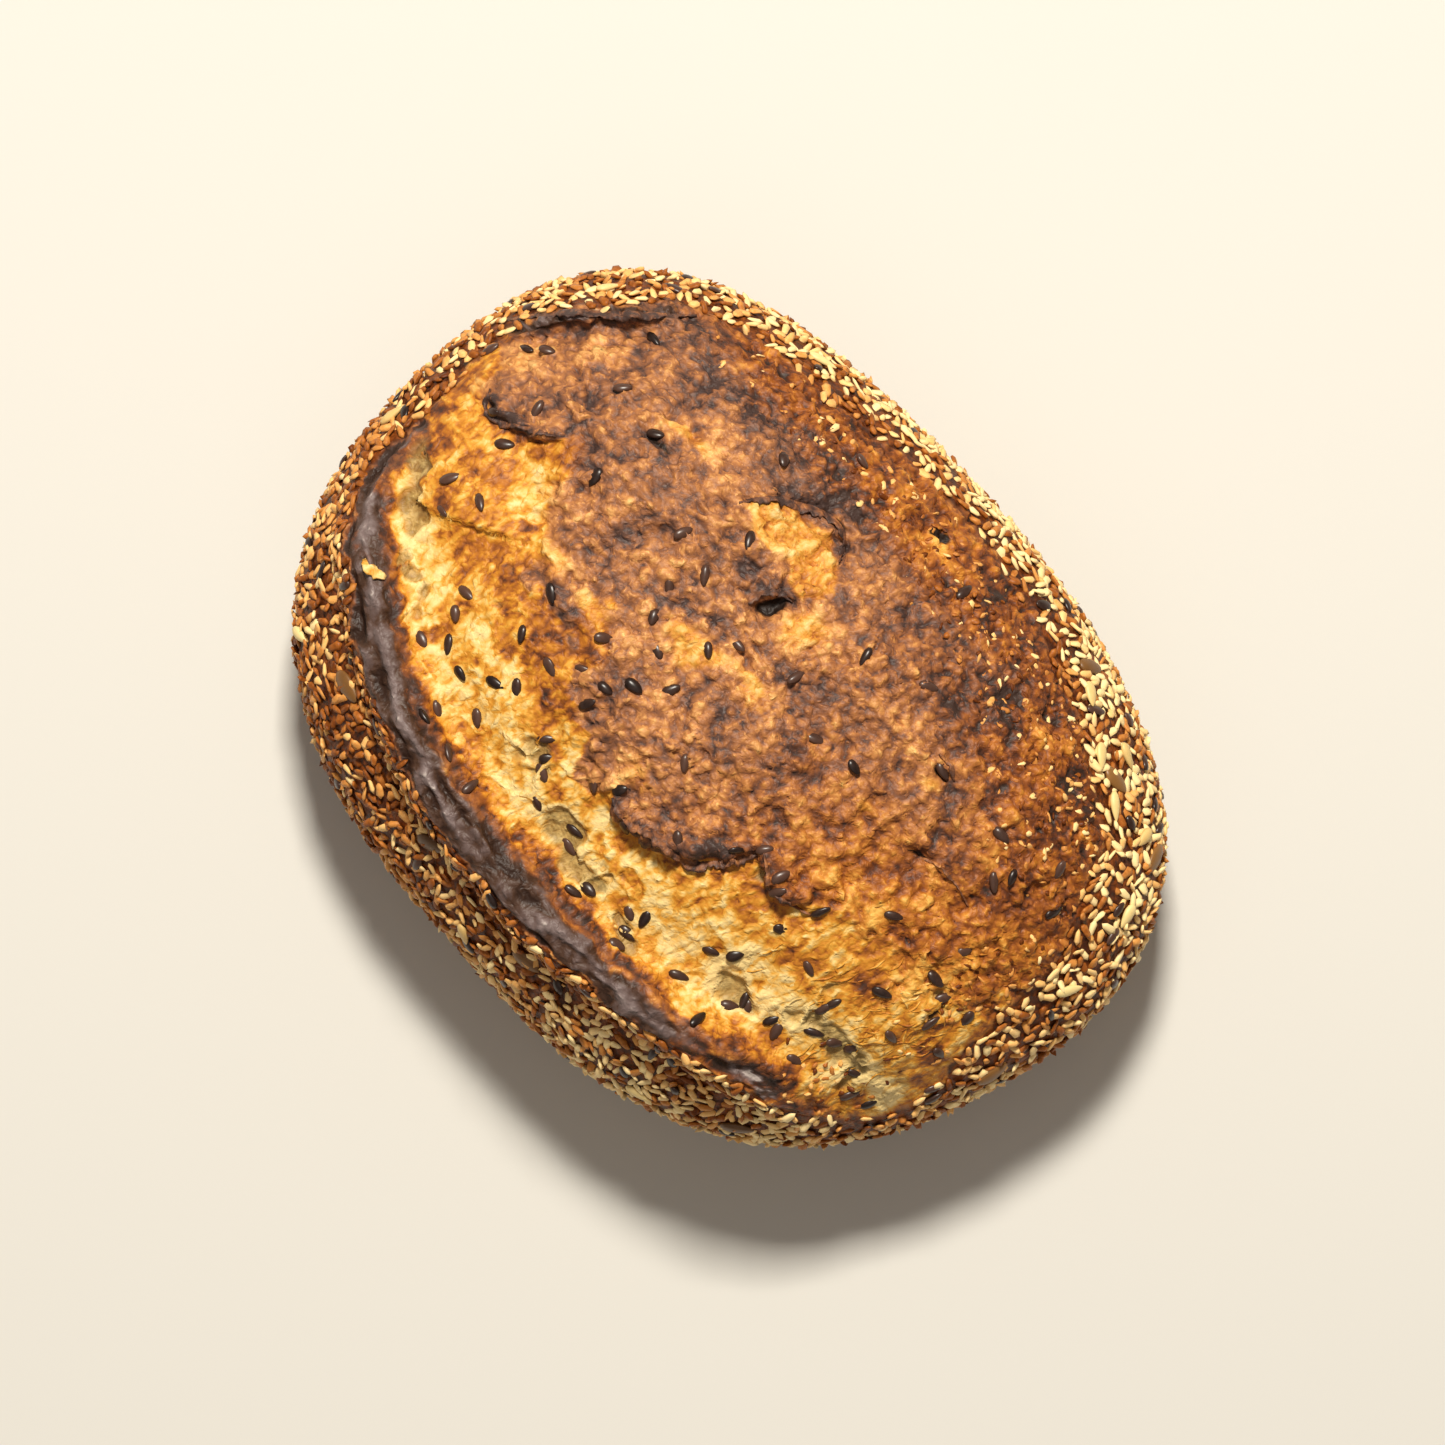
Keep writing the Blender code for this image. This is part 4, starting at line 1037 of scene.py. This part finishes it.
# Painted light: the way across the loaf towards the side where the sesame is painted lighter, the
# side that faces the lamp.
PAINTED_LIGHT_WAY = (0.45, 0.89)
TOASTED_SHARE, TOASTED_TONE = 0.28, 0.3
SUNK_COUNT, SUNK_SCALE, SUNK_DARKER, SUNK_LIFT = 460, 0.72, 0.26, (-0.00055, -0.00010)
DRAWS_EACH = 14
SUNK_SPOTS_MM = (
    (25, 63, 48, 7, -4, 1.0), (-45, 62, 20, 4, 8, 0.6), (72, 46, 14, 12, 0, 1.0),
    (90, -42, 16, 8, -30, 1.2), (91, 8, 6, 24, 0, 0.7), (50, 58, 20, 8, -10, 1.0),
)


def seed_shape(size, sides, rings, tip):
    """The points and faces of one seed: a flattened ball that narrows towards one end."""
    shape = bmesh.new()
    bmesh.ops.create_uvsphere(shape, u_segments=sides, v_segments=rings, radius=0.5)
    for vertex in shape.verts:
        taper = 1.0 - tip * vertex.co.z - 0.4 * tip * vertex.co.z**2
        wide, thick = vertex.co.x * size[1] * taper, vertex.co.y * size[2] * taper
        vertex.co = (vertex.co.z * size[0], wide, thick)
    bmesh.ops.recalc_face_normals(shape, faces=shape.faces[:])
    points = np.array([vertex.co for vertex in shape.verts])
    faces = [[vertex.index for vertex in face.verts] for face in shape.faces]
    shape.free()
    return points, faces


crust_mesh.calc_loop_triangles()
triangles = np.empty(len(crust_mesh.loop_triangles) * 3, int)
crust_mesh.loop_triangles.foreach_get("vertices", triangles)
triangles = triangles.reshape(-1, 3)
smooth_normals = point_normals(crust_mesh)
triangle_middles = form[triangles].mean(axis=1)
sides_a = form[triangles[:, 1]] - form[triangles[:, 0]]
sides_b = form[triangles[:, 2]] - form[triangles[:, 0]]
triangle_areas = np.linalg.norm(np.cross(sides_a, sides_b), axis=1) / 2
taken_cells = {}


def free_spots(chance, count, spacing, rng):
    """Random places on the crust and their normals, by chance and area, a spacing apart."""
    weight = triangle_areas * chance
    draws = rng.choice(len(weight), size=count * DRAWS_EACH, p=weight / weight.sum())
    chosen = []
    for index in draws:
        share = rng.dirichlet((1, 1, 1))
        spot = share @ form[triangles[index]]
        cell = (spot // spacing).astype(int)
        near = [
            other
            for step in np.ndindex(3, 3, 3)
            for other in taken_cells.get((spacing, *(cell + step - 1)), ())
        ]
        if any(((spot - other) ** 2).sum() < spacing**2 for other in near):
            continue
        taken_cells.setdefault((spacing, *cell), []).append(spot)
        chosen.append((spot, share @ smooth_normals[triangles[index]]))
        if len(chosen) == count:
            break
    return np.array([spot for spot, _ in chosen]), np.array([normal for _, normal in chosen])


def scatter(name, shape, spots, normals, turns, rng, size_spread, tilt, lift, tones, scale=1.0):
    """A piece of many seeds, each turned, tilted, sized and lifted, with a tone for its colour."""
    points, faces = shape
    normals = normals / np.linalg.norm(normals, axis=1)[:, None]
    normals = normals + rng.normal(0, tilt, normals.shape)
    normals /= np.linalg.norm(normals, axis=1)[:, None]
    sideways = np.array([1.0, 0.0, 0.0]) - normals * normals[:, :1]
    sideways /= np.linalg.norm(sideways, axis=1)[:, None]
    other_way = np.cross(normals, sideways)
    along = np.cos(turns)[:, None] * sideways + np.sin(turns)[:, None] * other_way
    across = np.cross(normals, along)
    sizes = rng.uniform(1 - size_spread, 1 + size_spread, (len(spots), 3))
    sizes = sizes * np.reshape(scale, (-1, 1))
    axes = np.stack([along, across, normals], axis=1) * sizes[:, :, None]
    placed = np.einsum("pk,skd->spd", points, axes) + (spots + normals * lift[:, None])[:, None, :]
    steps = np.arange(len(spots)) * len(points)
    mesh = bpy.data.meshes.new(name)
    joined = [[corner + int(step) for corner in face] for step in steps for face in faces]
    mesh.from_pydata(placed.reshape(-1, 3).tolist(), [], joined)
    store(mesh, "tone", np.repeat(tones, len(points)))
    piece = add_piece(name, mesh)
    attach(piece, "root")
    return piece


seed_rng = np.random.default_rng(7)
middle_x, middle_y, middle_z = triangle_middles.T
coated = np.clip(coat[triangles].mean(axis=1), 0, 1)
coat_chance = coated**2 * smooth_step(0.002, 0.006, middle_z)
thin = spot_cover(middle_x, middle_y, millimetres(THIN_COAT_SPOTS_MM), 1.3)
coat_chance *= np.clip(1 - thin * smooth_step(0.030, 0.045, middle_z), 0.05, 1.0)
sesame_spots, sesame_normals = free_spots(coat_chance, SESAME_COUNT, SESAME_SPACING, seed_rng)
sunk_chance = spot_cover(middle_x, middle_y, millimetres(SUNK_SPOTS_MM), 1.3) * (middle_z > 0.05)
sunk_chance *= 1 - coated
sunk_spots, sunk_normals = free_spots(sunk_chance, SUNK_COUNT, SESAME_SPACING, seed_rng)
sesame_lift = np.concatenate([
    seed_rng.uniform(*COAT_LIFT, len(sesame_spots)), seed_rng.uniform(*SUNK_LIFT, len(sunk_spots)),
])
sesame_scale = np.repeat((1.0, SUNK_SCALE), (len(sesame_spots), len(sunk_spots)))
sunk = sesame_scale < 1.0
sesame_spots = np.vstack([sesame_spots, sunk_spots])
sesame_normals = np.vstack([sesame_normals, sunk_normals])
pale = spot_cover(*sesame_spots[:, :2].T, millimetres(PALE_COAT_SPOTS_MM), 1.2)
# Painted light: the sesame is painted lighter on the side that faces the lamp.
painted_lamp_side_light = smooth_step(-0.075, 0.075, sesame_spots[:, :2] @ PAINTED_LIGHT_WAY)
sesame_tones = 0.43 + 0.27 * painted_lamp_side_light + pale + seed_rng.normal(0, 0.24, len(sesame_spots))
toasted = seed_rng.uniform(0, 1, len(sesame_spots)) < TOASTED_SHARE
sesame_tones = np.where(toasted, sesame_tones * TOASTED_TONE, sesame_tones)
sesame_tones = np.clip(sesame_tones - SUNK_DARKER * sunk, 0.0, 1.0)
one_sesame = seed_shape(SESAME_SIZE, SESAME_SIDES, SESAME_RINGS, SESAME_TIP)
sesame_turns = seed_rng.uniform(0, 2 * math.pi, len(sesame_spots))
sesame = scatter(
    "sesame", one_sesame, sesame_spots, sesame_normals, sesame_turns, seed_rng, SESAME_SPREAD,
    SESAME_TILT, sesame_lift, sesame_tones, sesame_scale,
)
SESAME_PATCH, SESAME_RELIEF, SESAME_ROUGH, SESAME_SHINE = 900.0, (0.4, 0.0002), 0.45, 0.2
SESAME_STOPS = (
    (0.0, (0.12, 0.028, 0.004)), (0.22, (0.36, 0.108, 0.016)), (0.45, (0.69, 0.300, 0.070)),
    (0.7, (0.90, 0.545, 0.195)), (1.0, (0.98, 0.755, 0.375)),
)
sesame_material, sesame_shader, place = new_material("toasted_sesame")
patch = noise(place, SESAME_PATCH, 2.0)
sesame_tone = read(place, "tone") + (patch - 0.5) * 0.35
sesame_tone.ramp(SESAME_STOPS).feed(sesame_shader, "Base Color")
bump_values = {"Strength": SESAME_RELIEF[0], "Distance": SESAME_RELIEF[1], "Height": patch}
place.node("Bump", {}, bump_values).feed(sesame_shader, "Normal")
sesame_shader.inputs["Roughness"].default_value = SESAME_ROUGH
sesame_shader.inputs["Specular IOR Level"].default_value = SESAME_SHINE
sesame.data.materials.append(sesame_material)


# Flax: dark glossy drop-shaped seeds, mixed through the dough, so that they lie in the bare dome
# and the pale crumb as well as in the coat. Those on the dome lie where the real loaf's lie.
FLAX_SIZE = (0.0050, 0.0026, 0.0014)
FLAX_SIDES, FLAX_RINGS, FLAX_TIP = 8, 6, 0.40
FLAX_SPREAD, FLAX_TILT = 0.14, 0.14
FLAX_PLACES_MM = (
    (-104.6, 13, 80), (-84.4, 1.1, 40), (-92, 4, 70), (-86.3, -14.3, 65), (-77.1, -12.3, -20),
    (-81.4, -20.9, 30), (-62.2, -28.5, 10), (-60.1, -33.7, -35), (-46.2, -24.4, -45),
    (-35.6, -24.1, -10), (-36.8, -33.7, -45), (-41.1, -36.7, 25), (-48.2, -41.7, 0),
    (-55.4, -39.6, -40), (-60.6, -43.9, -5), (-37.3, -45.5, -35), (-45.1, -51.5, -25),
    (-22.8, -35.4, 50), (-18.9, -38.2, 50), (-17.2, -41.6, -15), (-12.2, -47.2, -25),
    (-1.5, -44.3, 15), (0.7, -47.8, -5), (-7.2, -33.5, -35), (-2.3, -29.5, 70), (-23.2, -22.6, 75),
    (-23.4, -16.9, 10), (-30.3, -18.2, 40), (-33.1, -9.8, 45), (-49.2, -12.7, -25),
    (-22.5, -1.6, -15), (-13.2, -5, 75), (-29.5, 2.8, -55), (-19.5, -11.3, 10), (-15, 7.9, -35),
    (2.4, -13.4, -45), (-32.6, 10.2, -40), (-64.2, 13.1, -70), (-11.5, 14.2, 10), (-35.2, -56, -35),
    (-45.6, -55, -20), (-25.6, -57, 90), (-63.1, 30.7, 25), (-76.9, 31.6, 50), (-81.5, 44.9, 0),
    (-95.6, 23.2, 20), (-99.1, 19.6, 0), (-29.1, 32, -55), (-40.6, 20.9, 75), (-29.4, 18.5, -45),
    (-85.8, 12.3, -70), (-27.1, 65.2, 0), (-39.1, 50.7, -50), (3.2, 20.1, 85), (9.9, 36.2, -70),
    (24.9, 43.4, 35), (17.6, 14.4, 30), (28.6, 17.3, 0), (42.6, 33.3, -10), (63.5, 34.6, 5),
    (73.1, 30.3, -60), (71.2, 26.1, -35), (78.8, 40.3, -60), (86, 32.8, 80), (62.2, 2.4, 35),
    (79.7, 10.3, 65), (80.6, 0.6, 10), (85.4, -0.8, 70), (92.9, 0.7, -70), (12.7, 64.4, 90),
    (15.8, -26.4, -40), (5.5, -34.5, -55), (26.3, -16.6, 25), (30.5, -11.6, 60), (37.9, -12.7, 80),
    (40.3, -15.5, 70), (50.3, -10.4, 70), (47.9, -20.5, 20), (59.4, -21.3, -20), (74.9, -11.3, 20),
    (84.5, -16.3, -5), (69.7, -22, 75), (69.2, -24.7, 80), (72.3, -30.2, 30), (77.5, -27.7, 40),
    (81, -25.2, 80), (86.6, -28.8, 0), (90, -33, 60), (94.5, -31, 70), (45.9, -33.2, 65),
    (41.4, -37.1, 30), (55.7, -38.2, -60), (57.6, -39, -50), (54.5, -41.9, 40), (66.3, -36.9, -70),
    (63.6, -36.1, 70), (74.6, -38, 20), (41.2, -46.7, 30), (52.1, -49.7, 90), (25.5, -49.9, 10),
    (26, -53.6, 25), (11.5, -50.5, 10), (22, -46.4, -25), (25.5, -44.6, -70), (9.6, -53.6, 20),
    (88.2, -6.9, 85), (95.3, -9.8, 0), (101.4, -16.3, 60),
)
FLAX_BLACK, FLAX_BROWN = (0.012, 0.006, 0.005), (0.085, 0.040, 0.027)
FLAX_PATCH, FLAX_ROUGH, FLAX_SHINE = 700.0, 0.32, 0.4
COAT_FLAX_COUNT = 120
COAT_FLAX_SPACING = 0.0050
DOME_FLAX_LIFT, CRUMB_FLAX_SUNK, COAT_FLAX_LIFT = (0.00005, 0.00050), 0.00022, 0.0007
CRUMB_SIDE = -0.018


def spots_at(places_mm):
    """The crust's point below each place, the way its smooth form faces there, and the turn."""
    hits = [crust_below(x / 1000, y / 1000) for x, y, _ in places_mm]
    facing = [normals[list(crust_mesh.polygons[hit[2]].vertices)].mean(axis=0) for hit in hits]
    turns = np.radians([turn for _, _, turn in places_mm])
    return np.array([hit[0] for hit in hits]), np.array(facing), turns


dome_spots, dome_normals, dome_turns = spots_at(FLAX_PLACES_MM)
coat_spots, coat_normals = free_spots(coat_chance, COAT_FLAX_COUNT, COAT_FLAX_SPACING, seed_rng)
flax_spots = np.vstack([dome_spots, coat_spots])
flax_normals = np.vstack([dome_normals, coat_normals])
flax_turns = np.concatenate([dome_turns, seed_rng.uniform(0, 2 * math.pi, len(coat_spots))])
dome_lift = seed_rng.uniform(*DOME_FLAX_LIFT, len(dome_spots))
dome_lift -= CRUMB_FLAX_SUNK * (dome_spots[:, 1] < CRUMB_SIDE)
flax_lift = np.concatenate([dome_lift, np.full(len(coat_spots), COAT_FLAX_LIFT)])
one_flax = seed_shape(FLAX_SIZE, FLAX_SIDES, FLAX_RINGS, FLAX_TIP)
flax_tones = seed_rng.uniform(0, 1, len(flax_spots))
flax = scatter(
    "flax", one_flax, flax_spots, flax_normals, flax_turns, seed_rng, FLAX_SPREAD, FLAX_TILT,
    flax_lift, flax_tones,
)
flax_material, flax_shader, place = new_material("dark_flax")
flax_tone = read(place, "tone") * 0.6 + noise(place, FLAX_PATCH, 2.0) * 0.5
flax_tone.between(0.15, 1.0).tint(FLAX_BLACK, FLAX_BROWN).feed(flax_shader, "Base Color")
flax_shader.inputs["Roughness"].default_value = FLAX_ROUGH
flax_shader.inputs["Specular IOR Level"].default_value = FLAX_SHINE
flax.data.materials.append(flax_material)


# Sunflower kernels: long shelled wedges that baked to a pale gold. A few of them stuck to the wet
# dough among the sesame.
SUNFLOWER_SIZE = (0.0072, 0.0030, 0.0018)
SUNFLOWER_SIDES, SUNFLOWER_RINGS, SUNFLOWER_TIP = 10, 8, 0.75
SUNFLOWER_SPREAD, SUNFLOWER_TILT, SUNFLOWER_LIFT = 0.12, 0.08, 0.0010
SUNFLOWER_PLACES_MM = (
    (1, -80.5, -50), (64, 65, -35), (68, 70, 5), (75.5, 60, -25), (86, 61, -80), (51, 72.5, -35),
    (103, 24, 60), (57.5, -72, 10), (-98, 44, 50), (-52, 73, 20), (-107, -15.5, 85), (-80, -66, 40),
    (98, 46, -60),
)
SUNFLOWER_TAN, SUNFLOWER_PALE = (0.60, 0.36, 0.10), (0.92, 0.74, 0.34)


def lay_kernels(name, shape, places_mm, spread, tilt, lift):
    """A piece of kernels that lie at their own places, all lifted alike."""
    lifts = np.full(len(places_mm), lift)
    tones = seed_rng.uniform(0, 1, len(places_mm))
    return scatter(name, shape, *spots_at(places_mm), seed_rng, spread, tilt, lifts, tones)


def colour_kernels(kernels, name, tone_share, patch_share, patch, low, high, rough):
    """Gives kernels their material: each has its own tone, clouded with patches."""
    material, shader, place = new_material(name)
    tone = read(place, "tone") * tone_share + noise(place, *patch) * patch_share
    tone.tint(low, high).feed(shader, "Base Color")
    shader.inputs["Roughness"].default_value = rough
    kernels.data.materials.append(material)


one_sunflower = seed_shape(SUNFLOWER_SIZE, SUNFLOWER_SIDES, SUNFLOWER_RINGS, SUNFLOWER_TIP)
sunflower = lay_kernels(
    "sunflower", one_sunflower, SUNFLOWER_PLACES_MM, SUNFLOWER_SPREAD, SUNFLOWER_TILT,
    SUNFLOWER_LIFT,
)
colour_kernels(
    sunflower, "pale_kernel", 0.7, 0.4, (500.0, 2.0), SUNFLOWER_TAN, SUNFLOWER_PALE, 0.5,
)


# Pumpkin kernels: the largest toppings, flat shelled ovals that baked to an olive-brown. They are
# pressed into the dough, half hidden in the coat.
PUMPKIN_SIZE = (0.0088, 0.0046, 0.0020)
PUMPKIN_SIDES, PUMPKIN_RINGS, PUMPKIN_TIP = 12, 8, 0.45
PUMPKIN_SPREAD, PUMPKIN_TILT, PUMPKIN_LIFT = 0.10, 0.06, 0.0005
PUMPKIN_PLACES_MM = (
    (-63, -65, 10), (-21, -73, 40), (15.5, -73, 10), (92, 60, -65), (71, 64.5, 20), (46, 77, 60),
    (107.5, -3, 80), (79, -59, 30),
)
PUMPKIN_BROWN, PUMPKIN_OLIVE = (0.085, 0.034, 0.008), (0.26, 0.118, 0.027)

one_pumpkin = seed_shape(PUMPKIN_SIZE, PUMPKIN_SIDES, PUMPKIN_RINGS, PUMPKIN_TIP)
pumpkin = lay_kernels(
    "pumpkin", one_pumpkin, PUMPKIN_PLACES_MM, PUMPKIN_SPREAD, PUMPKIN_TILT, PUMPKIN_LIFT,
)
colour_kernels(
    pumpkin, "olive_kernel", 0.6, 0.5, (400.0, 3.0), PUMPKIN_BROWN, PUMPKIN_OLIVE, 0.42,
)
